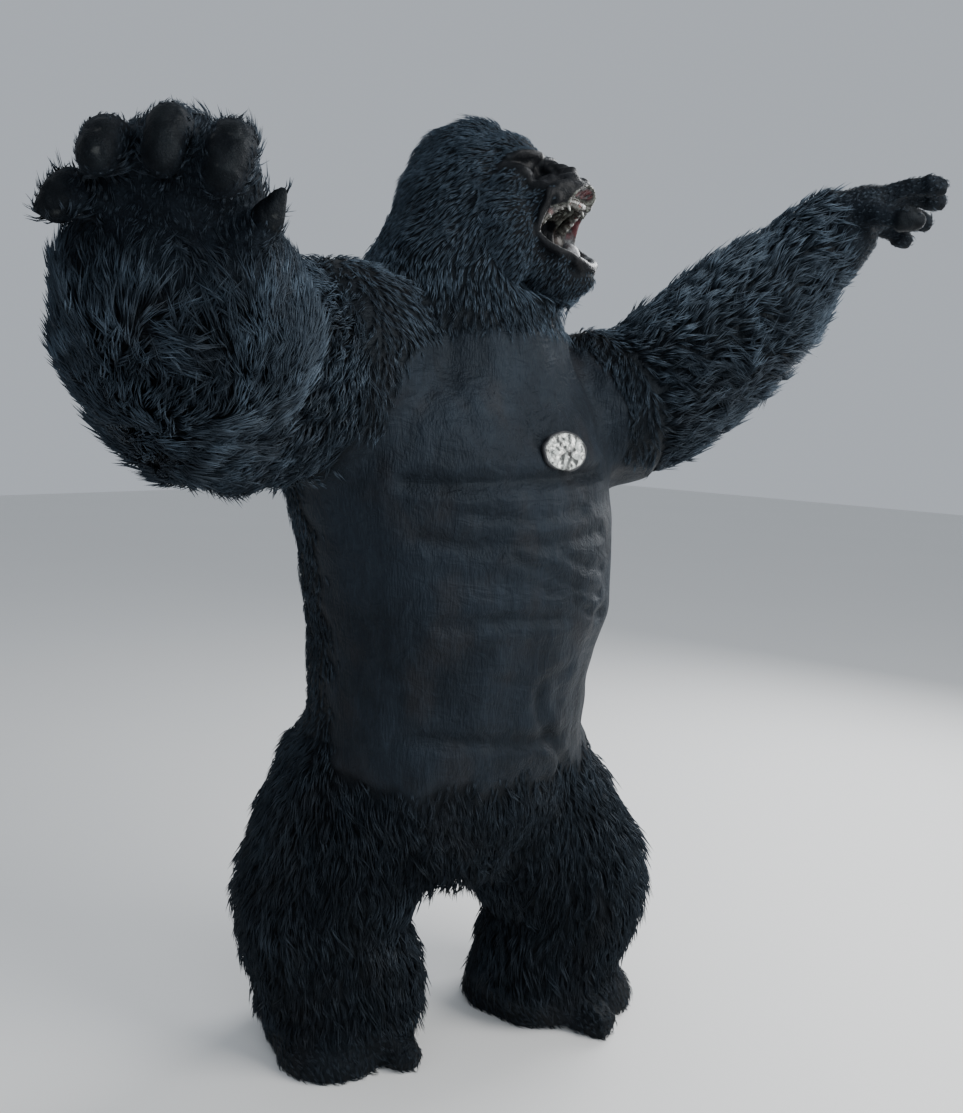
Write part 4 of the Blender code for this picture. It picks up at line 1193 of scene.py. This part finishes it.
def eye_finish(settings):
    """Pupil, iris, its dark edge and the white, one after the other away from the gaze."""
    finish = Finish("eye")
    (look,) = finish.read("look")
    rays = finish.patches(900.0, 2.0, 0.3, 0.7)
    iris = finish.mix(settings.eye_colour, (0.26, 0.12, 0.03), rays * 0.7)
    iris = finish.mix(iris, (0.008, 0.005, 0.004), look.between(0.44, 0.56))
    iris = finish.mix((0.002, 0.002, 0.002), iris, look.between(0.2, 0.25))
    white = finish.mix((0.055, 0.03, 0.022), (0.15, 0.11, 0.09),
                       finish.patches(240.0, 3.0, 0.4, 0.7))
    return finish.done(Specular_IOR_Level=0.7, Coat_Weight=1.0, Coat_Roughness=0.03,
                       Base_Color=finish.mix(iris, white, look.between(0.56, 0.66)),
                       Roughness=0.06 + rays * 0.05)


# ---------------------------------------------------------------- gloves and the chest window
# for each glove: which way its pads and its palm face, how far its fingers swell, its tufts
GLOVES = {
    "right": ((-0.5, -0.8, 0.1), (-0.66, -0.74, 0.05), 0.0035, 2350),
    "left": ((-0.25, -0.3, -1.0), (-0.25, -0.3, -1.0), 0.008, 1250),
}


class Glove:
    """One hand's plush glove: fingers and palm as one skin, with bare pads at the fingertips."""

    def __init__(self, side):
        self.nodes = [f"{part}_{side}" for part in ("hand", *FINGERS)]
        nodes = [*self.nodes, f"forearm_{side}"]
        pads_face, palm_faces = (unit(np.array(way)) for way in GLOVES[side][:2])
        mesh = remeshed(merged_nodes(nodes, 0.001), GLOVE_VOXEL)
        edges, points = edges_of(mesh), points_of(mesh)
        part = nearest_node(points, nodes)
        set_points(mesh, eased(points, edges, 6))
        points, normals = points_of(mesh), soft_normals(mesh, edges, 3)
        place, reach = wrist(side)
        palm, ahead = np.array(middle_of(f"hand_{side}")), np.array(reach)
        away = (points - np.array(place)) @ ahead
        near, seam = 1 - ramp(away, 0.0, 0.13), 1 - ramp(away, 0.0, 0.05)
        pads = np.zeros(len(points))
        for index, finger in enumerate(FINGERS, 1):
            here = part == index
            middle = np.array(middle_of(f"{finger}_{side}"))
            beyond = (points[here] - middle) @ unit(middle - palm)
            tip = ramp(beyond / beyond.max(), -0.3, 0.4)
            pads[here] = tip * ramp(normals[here] @ pads_face, 0.35, 0.85)
            if finger == "thumb":
                pads[here] = 0.75 + 0.25 * pads[here]
        swell = GLOVES[side][2] * eased(np.isin(part, range(1, 6)) * 1.0, edges, 4)
        points += normals * swell[:, None]
        pads, hand = eased(pads, edges, 3), eased((part == 0) * 1.0, edges, 8)
        back = ramp(-(normals @ palm_faces), -0.1, 0.5)
        long = 0.8 * seam
        if side == "right":
            long = np.clip(np.maximum(near, 0.25 * hand + 0.55 * back), 0, 1)
        depth = 0.003 + 0.02 * seam + 0.25 * (0.006 * near + 0.003 * hand * (1 - near))
        fold = bell(grain(points, 32.0, 3.0), 0.09) * 0.002
        plush = grain(points, 60.0, 5.0) * 0.0012
        points += normals * (plush - depth * (1 - pads) - 0.001
                             - fold * (0.4 + 0.6 * pads))[:, None]
        set_points(mesh, points)
        store(mesh, pad=pads)
        flow = ahead * 0.9 + np.array((0, 0, -0.1)) + swirls(points, 19.0, (5.0, 9.0, 13.0))
        pile = np.array((0.012, 0.3, 0.0026)) + long[:, None] * np.array((0.038, 0.02, 0.0028))
        self.mesh, index = trimmed(mesh, part >= 0, place - reach * 0.006, -reach)
        set_smooth(self.mesh)
        self.normals, self.pads, self.pile = normals[index], pads[index], pile[index]
        self.flow = laid(flow, normals)[index]


def glove_finish(settings):
    finish = Finish("glove_plush")
    (pad,) = finish.read("pad")
    nap = finish.noise(340.0, 4.0, distortion=0.6)
    blotch = finish.patches(26.0, 4.0, 0.38, 0.68)
    plush = finish.mix(settings.deep_colour, settings.tip_and_highlight_colour,
                       nap.between(0.45, 0.8) * 0.22 + blotch * 0.08)
    # the pads' own near-black colour, then paler patches on them that are painted highlight
    worn = finish.mix((0.0012, 0.0016, 0.0022), (0.005, 0.006, 0.0066), blotch * 0.8)
    worn = finish.mix(worn, (0.06, 0.062, 0.06), finish.patches(48.0, 4.0, 0.6, 0.74) * 0.5)
    return finish.done(Specular_IOR_Level=0.1, Specular_Tint=(0.8, 0.9, 1.0),
                       Base_Color=finish.mix(plush, worn, pad * 0.85), Roughness=0.7 - pad * 0.2,
                       Normal=finish.bump(nap, 0.0018, 0.8, over=finish.bump(blotch, 0.003, 0.4)))


WINDOW = (0.065, 0.042)                           # half sizes
WINDOW_FACING = (0.03, -1.0, 0.14)
WINDOW_FILM = 0.9                                 # the film's share of the window's size
# line of the dark fold across the film: painted shade
WINDOW_FOLD_SHADE = ((-0.45, 0.8), (-0.12, 0.25), (0.1, 0.02), (0.22, -0.32), (-0.05, -0.95))


def window_mesh():
    """The oval window: crinkled film under a clear cover with a rolled edge."""
    def at(a):
        notch = (1 - 0.1 * bell(a - 1.42 * pi, 0.2) - 0.05 * bell(a - 2.5, 0.14)
                 + (0.012 * sin(5 * a + 1) + 0.01 * sin(9 * a)))
        x, y = cos(a) * size * WINDOW[0] * notch, sin(a) * size * WINDOW[1] * notch
        coarse, fine = (abs(noise.noise(Vector((x, y, 0.0)) * scale)) for scale in (48, 110))
        film = min(1.0, max(0.0, (WINDOW_FILM - size) * 8))
        return x, y, height + 0.005 * (coarse + 0.6 * fine - 0.35) * film

    bm, rings = bmesh.new(), []
    profile = [(0.9, -0.0052), (0.99, -0.004), (1.0, 0.0004), (0.985, 0.0034),
               (0.95, 0.0046), (0.915, 0.0038), (0.9, 0.0026)]
    profile += [(WINDOW_FILM - 0.06 * k, 0.0026 + 0.002 * sin(0.5 * pi * k / 14))
                for k in range(1, 15)]
    for size, height in profile:
        rings.append(ring(bm, 72, at))
    walls(bm, rings)
    bm.faces.new(rings[0])
    bm.faces.new(rings[-1])
    split(bm, large_faces(bm))
    flat = np.array([(v.co.x / WINDOW[0], v.co.y / WINDOW[1]) for v in bm.verts])
    low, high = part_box("chest_disc")
    place = facing((low + high) / 2, Vector(WINDOW_FACING).normalized())
    bmesh.ops.transform(bm, matrix=place, verts=bm.verts)
    mesh = from_bmesh(bm)
    store(mesh, rim=ramp(np.linalg.norm(flat, axis=1), 0.88, 0.92),
          crack=ramp(-line_distance(flat, WINDOW_FOLD_SHADE), -0.13, -0.03))
    set_smooth(mesh)
    return mesh


def window_finish():
    finish = Finish("chest_window")
    rim, crack = finish.read("rim", "crack")
    crinkle = finish.cells(70.0, "DISTANCE_TO_EDGE")
    # light and dark patches of the crinkled film: painted reflection, which also varies its
    # roughness
    painted_reflection = finish.patches(60.0, 4.0, 0.38, 0.62, distortion=1.5)
    film = finish.mix((0.06, 0.062, 0.058), (0.6, 0.63, 0.6), painted_reflection)
    # painted shade along the crinkles
    film = finish.mix(film, (0.05, 0.055, 0.055), crinkle.between(0.05, 0.0) * 0.6)
    # painted shade along a fold of the film
    film = finish.mix(film, (0.012, 0.012, 0.011), crack * 0.85)
    return finish.done(Specular_IOR_Level=0.6, Coat_Roughness=0.08,
                       Base_Color=finish.mix(film, (0.012, 0.013, 0.016), rim),
                       Roughness=0.28 + painted_reflection * 0.15 + rim * 0.35, Metallic=(1 - rim) * 0.35,
                       Coat_Weight=(1 - rim) * 0.8, Normal=finish.bump(crinkle, 0.0012, 0.8))


# ---------------------------------------------------------------- settings
def colour(name, description, default):
    return FloatVectorProperty(name=name, description=description, default=default, size=3,
                               min=0.0, max=1.0, subtype="COLOR")


class COSTUME_PG_coat(bpy.types.PropertyGroup):
    length: FloatProperty(name="Pile Length", description="Tuft length against the made pile",
                          default=1.0, min=0.2, max=2.0, subtype="FACTOR")
    width: FloatProperty(name="Tuft Width", description="Tuft width against the made pile",
                         default=0.8, min=0.3, max=2.0, subtype="FACTOR")
    stray: FloatProperty(name="Stray", description="How far tufts turn away from the coat's lie",
                         default=0.42, min=0.0, max=1.0, subtype="FACTOR")
    deep_colour: colour("Deep Colour", "Fur near its roots", (0.0022, 0.003, 0.0046))
    # greyer drifts of the fur, and the painted light that makes it paler higher up
    drift_and_light_colour: colour("Drift Colour", "Greyer drifts of the fur", (0.0085, 0.012, 0.017))
    warm_colour: colour("Warm Colour", "Browner drifts of the fur", (0.013, 0.0115, 0.012))
    # colour of the pile's ends, which is also the painted highlight on the fur's tips
    tip_and_highlight_colour: colour("Tip Colour", "Ends of the pile", (0.054, 0.076, 0.102))


class COSTUME_PG_mask(bpy.types.PropertyGroup):
    rubber_colour: colour("Rubber Colour", "Moulded mask", (0.0036, 0.0042, 0.0054))
    rubber_light: colour("Rubber Highlight", "Paler blotches of the mask", (0.014, 0.015, 0.018))
    eye_colour: colour("Eye Colour", "Iris of the eyes", (0.06, 0.026, 0.01))


class COSTUME_PG_stage(bpy.types.PropertyGroup):
    floor_colour: colour("Floor Colour", "Plain pale floor", (0.78, 0.78, 0.77))
    key_power: FloatProperty(name="Key Light", description="Power of the large soft light",
                             default=150.0, min=0.0, unit="POWER")
    floor_size: FloatProperty(name="Floor Size", description="Side of the square floor",
                              default=30.0, min=5.0, unit="LENGTH")


# ---------------------------------------------------------------- operators
def shown(name, mesh, material, slot, *nodes):
    """A finished piece that rides on the body and stands for its solids."""
    piece = made_object(name, mesh, material)
    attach(piece, BODY)
    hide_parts(*nodes)
    return piece


class COSTUME_OT_suit(bpy.types.Operator):
    """Make the padded suit's one skin and lay the coat on it"""
    bl_idname = "costume.suit"
    bl_label = "Suit and Coat"

    def execute(self, context):
        settings = context.scene.costume_coat
        suit = Suit()
        head = np.isin(suit.part, [SLEEVE_NODES.index("head"), SLEEVE_NODES.index("neck")])
        pile = suit.pile[:, [0, 1, 3]]
        pile[:, 0] *= 1 - 0.65 * head * ramp(-suit.normals[:, 2], 0.0, 0.4)
        values = {"flow": suit.flow, "rise": suit.normals, "pile": pile,
                  # the head and neck get a plush share, which in the coat's finish means more
                  # painted highlight and less painted shade on their fur
                  "plush": np.maximum(suit.plush, 0.85 * head),
                  "cover": np.clip(1.0 - 1.1 * suit.plush, 0, 1)}
        group, finish, locks = coat_tree(), coat_finish(settings), lock_shapes(5)
        for seed, (name, (nodes, tufts)) in enumerate(COATS.items(), 1):
            wanted = np.isin(suit.part, [SLEEVE_NODES.index(n) for n in nodes])
            bed = bed_from(suit.mesh, wanted, values, name)
            stray = settings.stray * (0.45 if name in ("coat_head", "coat_neck") else 1.0)
            lay_coat(name, bed, group, locks, finish, tufts, settings.length, settings.width,
                     stray, seed)
        store(suit.mesh, plush=suit.plush, crease=suit.crease)
        skin = shown("suit_skin", suit.mesh, skin_finish(settings), "black_fur", *SUIT_NODES)
        return {"FINISHED"}


class COSTUME_OT_mask(bpy.types.Operator):
    """Sculpt the roaring mask with its lids, nostrils, folds and mouth, and its fringe of fur"""
    bl_idname = "costume.mask"
    bl_label = "Mask"

    def execute(self, context):
        coat = context.scene.costume_coat
        mesh = mask_mesh()
        points, normals = points_of(mesh), soft_normals(mesh, edges_of(mesh), 3)
        share = rows(mesh.attributes["fur"].data, "value", width=1).ravel()
        x, y, z = to_frame(HEAD, points).T
        out = np.stack([x * 5.0, 0.9 + 0 * x, (z + 0.06) * 3.0], 1)
        flow = unit(out) @ np.array(HEAD_TURN)[:3, :3].T + np.array((0, 0, -0.55))
        flow += 0.35 * swirls(points, 18.0, (3.0, 6.0, 9.0))
        far = ramp(y, -0.2, -0.06)[:, None]
        pile = np.array((0.013, 0.26, 0.0026)) + far * np.array((0.02, -0.04, 0.0016))
        values = {"flow": laid(flow, normals), "rise": normals, "pile": pile, "cover": share,
                  # a plush share on the face's fringe gives its fur more painted highlight and less
                  # painted shade
                  "plush": 0 * share + 0.85}
        bed = bed_from(mesh, (share > 0.25) & (y < -0.047), values, "coat_face")
        lay_coat("coat_face", bed, coat_tree(), lock_shapes(11), coat_finish(coat), tufts=2300,
                 length=coat.length, width=coat.width, stray=0.25, seed=31)
        shown("mask", mesh, mask_finish(context.scene.costume_mask), "mask_rubber",
              "face_mask", "jaw")
        return {"FINISHED"}


class COSTUME_OT_mouth(bpy.types.Operator):
    """Set both rows of teeth in their gums and the tongue"""
    bl_idname = "costume.mouth"
    bl_label = "Teeth and Tongue"

    def execute(self, context):
        finish = teeth_finish()
        for row, arch, point in (("upper", ARCH_UPPER, -1), ("lower", ARCH_LOWER, 1)):
            shown(f"teeth_and_gum_{row}", row_of_teeth(arch, point), finish, "teeth",
                  f"{row}_teeth")
        shown("wet_tongue", tongue_mesh(), tongue_finish(), "tongue", "tongue")
        return {"FINISHED"}


class COSTUME_OT_eyes(bpy.types.Operator):
    """Set the glassy eyes behind the mask's lids"""
    bl_idname = "costume.eyes"
    bl_label = "Eyes"

    def execute(self, context):
        finish = eye_finish(context.scene.costume_mask)
        for side in SIDES:
            shown(f"glass_eye_{side}", eye_mesh(f"eye_{side}"), finish, "eye", f"eye_{side}")
        return {"FINISHED"}


class COSTUME_OT_gloves(bpy.types.Operator):
    """Make the plush gloves with their pads and short pile"""
    bl_idname = "costume.gloves"
    bl_label = "Gloves"

    def execute(self, context):
        coat = context.scene.costume_coat
        finish, fur = glove_finish(coat), coat_finish(coat, "glove_fur", 0.45)
        group, locks = coat_tree(), lock_shapes(17)
        for seed, side in enumerate(SIDES, 40):
            glove, name = Glove(side), f"coat_glove_{side}"
            values = {"flow": glove.flow, "rise": glove.normals, "pile": glove.pile,
                      "plush": 0 * glove.pads, "cover": np.clip(1.0 - 1.2 * glove.pads, 0, 1)}
            bed = bed_from(glove.mesh, glove.pads < 0.9, values, name)
            lay_coat(name, bed, group, locks, fur, tufts=GLOVES[side][3], length=1.0, width=1.0,
                     stray=0.35, seed=seed)
            shown(f"glove_{side}", glove.mesh, finish, "black_plush", *glove.nodes)
        return {"FINISHED"}


class COSTUME_OT_window(bpy.types.Operator):
    """Make the crinkled oval window on the breast"""
    bl_idname = "costume.window"
    bl_label = "Chest Window"

    def execute(self, context):
        shown("breast_window", window_mesh(), window_finish(), "window", "chest_disc")
        return {"FINISHED"}


# the lights: name, place across, ahead and up, size, share of the key power, tint
LIGHTS = (
    ("key", (3.0, -1.3, 3.0), 2.4, 1.15, (1.0, 0.985, 0.96)),
    ("fill", (0.6, -3.5, 2.5), 2.6, 0.36, (0.88, 0.94, 1.0)),
    ("back", (2.2, 2.6, 2.6), 2.4, 0.9, (0.97, 0.98, 1.0)),
)
AIM_HEIGHT = 1.15
BACKDROP, BACKDROP_STRENGTH = (0.78, 0.84, 0.92, 1.0), 0.6
CAMERA_PLACE = (-1.6608, -1.7834, 1.447)
CAMERA_RIGHT, CAMERA_AHEAD = Vector((0.743145, -0.669131, 0)), Vector((0.669131, 0.743145, 0))
CAMERA_TILT, CAMERA_ROLL = radians(-7.5), radians(1.4)
CAMERA_LENS, CAMERA_SENSOR = 37.197, 36.0         # millimetres


class COSTUME_OT_stage(bpy.types.Operator):
    """Lay the plain floor and set the soft lights and the camera"""
    bl_idname = "costume.stage"
    bl_label = "Stage"

    def execute(self, context):
        scene, settings = context.scene, context.scene.costume_stage
        half = settings.floor_size / 2
        mesh = bpy.data.meshes.new("floor")
        mesh.from_pydata([(-half, -half, 0), (half, -half, 0), (half, half, 0), (-half, half, 0)],
                         [], [(0, 1, 2, 3)])
        finish = Finish("floor")
        base = tuple(settings.floor_colour)
        worn = finish.mix(base, tuple(0.97 * c for c in base), finish.noise(0.8, 2.0))
        finish.done(Base_Color=worn, Roughness=0.6, Specular_IOR_Level=0.3)
        made_object("floor", mesh, finish.material)
        world = bpy.data.worlds.new("soft_room")
        world.use_nodes = True
        backdrop = world.node_tree.nodes["Background"]
        backdrop.inputs["Color"].default_value = BACKDROP
        backdrop.inputs["Strength"].default_value = BACKDROP_STRENGTH
        scene.world = world
        right, ahead, high = CAMERA_RIGHT, CAMERA_AHEAD, Vector((0, 0, 1))
        for name, (across, near, height), size, share, tint in LIGHTS:
            light = bpy.data.lights.new(name, "AREA")
            light.shape, light.size, light.energy = "SQUARE", size, settings.key_power * share
            light.color = tint
            lamp = bpy.data.objects.new(name, light)
            scene.collection.objects.link(lamp)
            lamp.location = right * across + ahead * near + high * height
            aim = high * AIM_HEIGHT - lamp.location
            lamp.rotation_euler = aim.to_track_quat("-Z", "Y").to_euler()
        forward = ahead * cos(CAMERA_TILT) + high * sin(CAMERA_TILT)
        up = high * cos(CAMERA_TILT) - ahead * sin(CAMERA_TILT)
        across = right * cos(CAMERA_ROLL) + up * sin(CAMERA_ROLL)
        top = up * cos(CAMERA_ROLL) - right * sin(CAMERA_ROLL)
        camera = bpy.data.objects.new("camera", bpy.data.cameras.new("camera"))
        scene.collection.objects.link(camera)
        camera.data.lens, camera.data.sensor_width = CAMERA_LENS, CAMERA_SENSOR
        turn = Matrix((across, top, -forward)).transposed().to_4x4()
        camera.matrix_world = Matrix.Translation(CAMERA_PLACE) @ turn
        scene.camera = camera
        return {"FINISHED"}


OPERATORS = (COSTUME_OT_suit, COSTUME_OT_mask, COSTUME_OT_mouth, COSTUME_OT_eyes,
             COSTUME_OT_gloves, COSTUME_OT_window, COSTUME_OT_stage)
GROUPS = {"costume_coat": COSTUME_PG_coat, "costume_mask": COSTUME_PG_mask,
          "costume_stage": COSTUME_PG_stage}


class COSTUME_PT_panel(bpy.types.Panel):
    """Lists the costume's pieces and settings"""
    bl_label = "Gorilla Costume"
    bl_space_type = "VIEW_3D"
    bl_region_type = "UI"
    bl_category = "Costume"

    def draw(self, context):
        layout = self.layout
        for name in GROUPS:
            group, box = getattr(context.scene, name), layout.box()
            for setting in group.__annotations__:
                box.prop(group, setting)
        for operator in OPERATORS:
            layout.operator(operator.bl_idname)


CLASSES = (*GROUPS.values(), *OPERATORS, COSTUME_PT_panel)


def register():
    for kind in CLASSES:
        bpy.utils.register_class(kind)
    for name, kind in GROUPS.items():
        setattr(bpy.types.Scene, name, PointerProperty(type=kind))


def unregister():
    for name in GROUPS:
        delattr(bpy.types.Scene, name)
    for kind in reversed(CLASSES):
        bpy.utils.unregister_class(kind)


def main():
    register()
    bpy.ops.costume.suit()
    bpy.ops.costume.mask()
    bpy.ops.costume.mouth()
    bpy.ops.costume.eyes()
    bpy.ops.costume.gloves()
    bpy.ops.costume.window()
    bpy.ops.costume.stage()


if __name__ == "__main__":
    main()
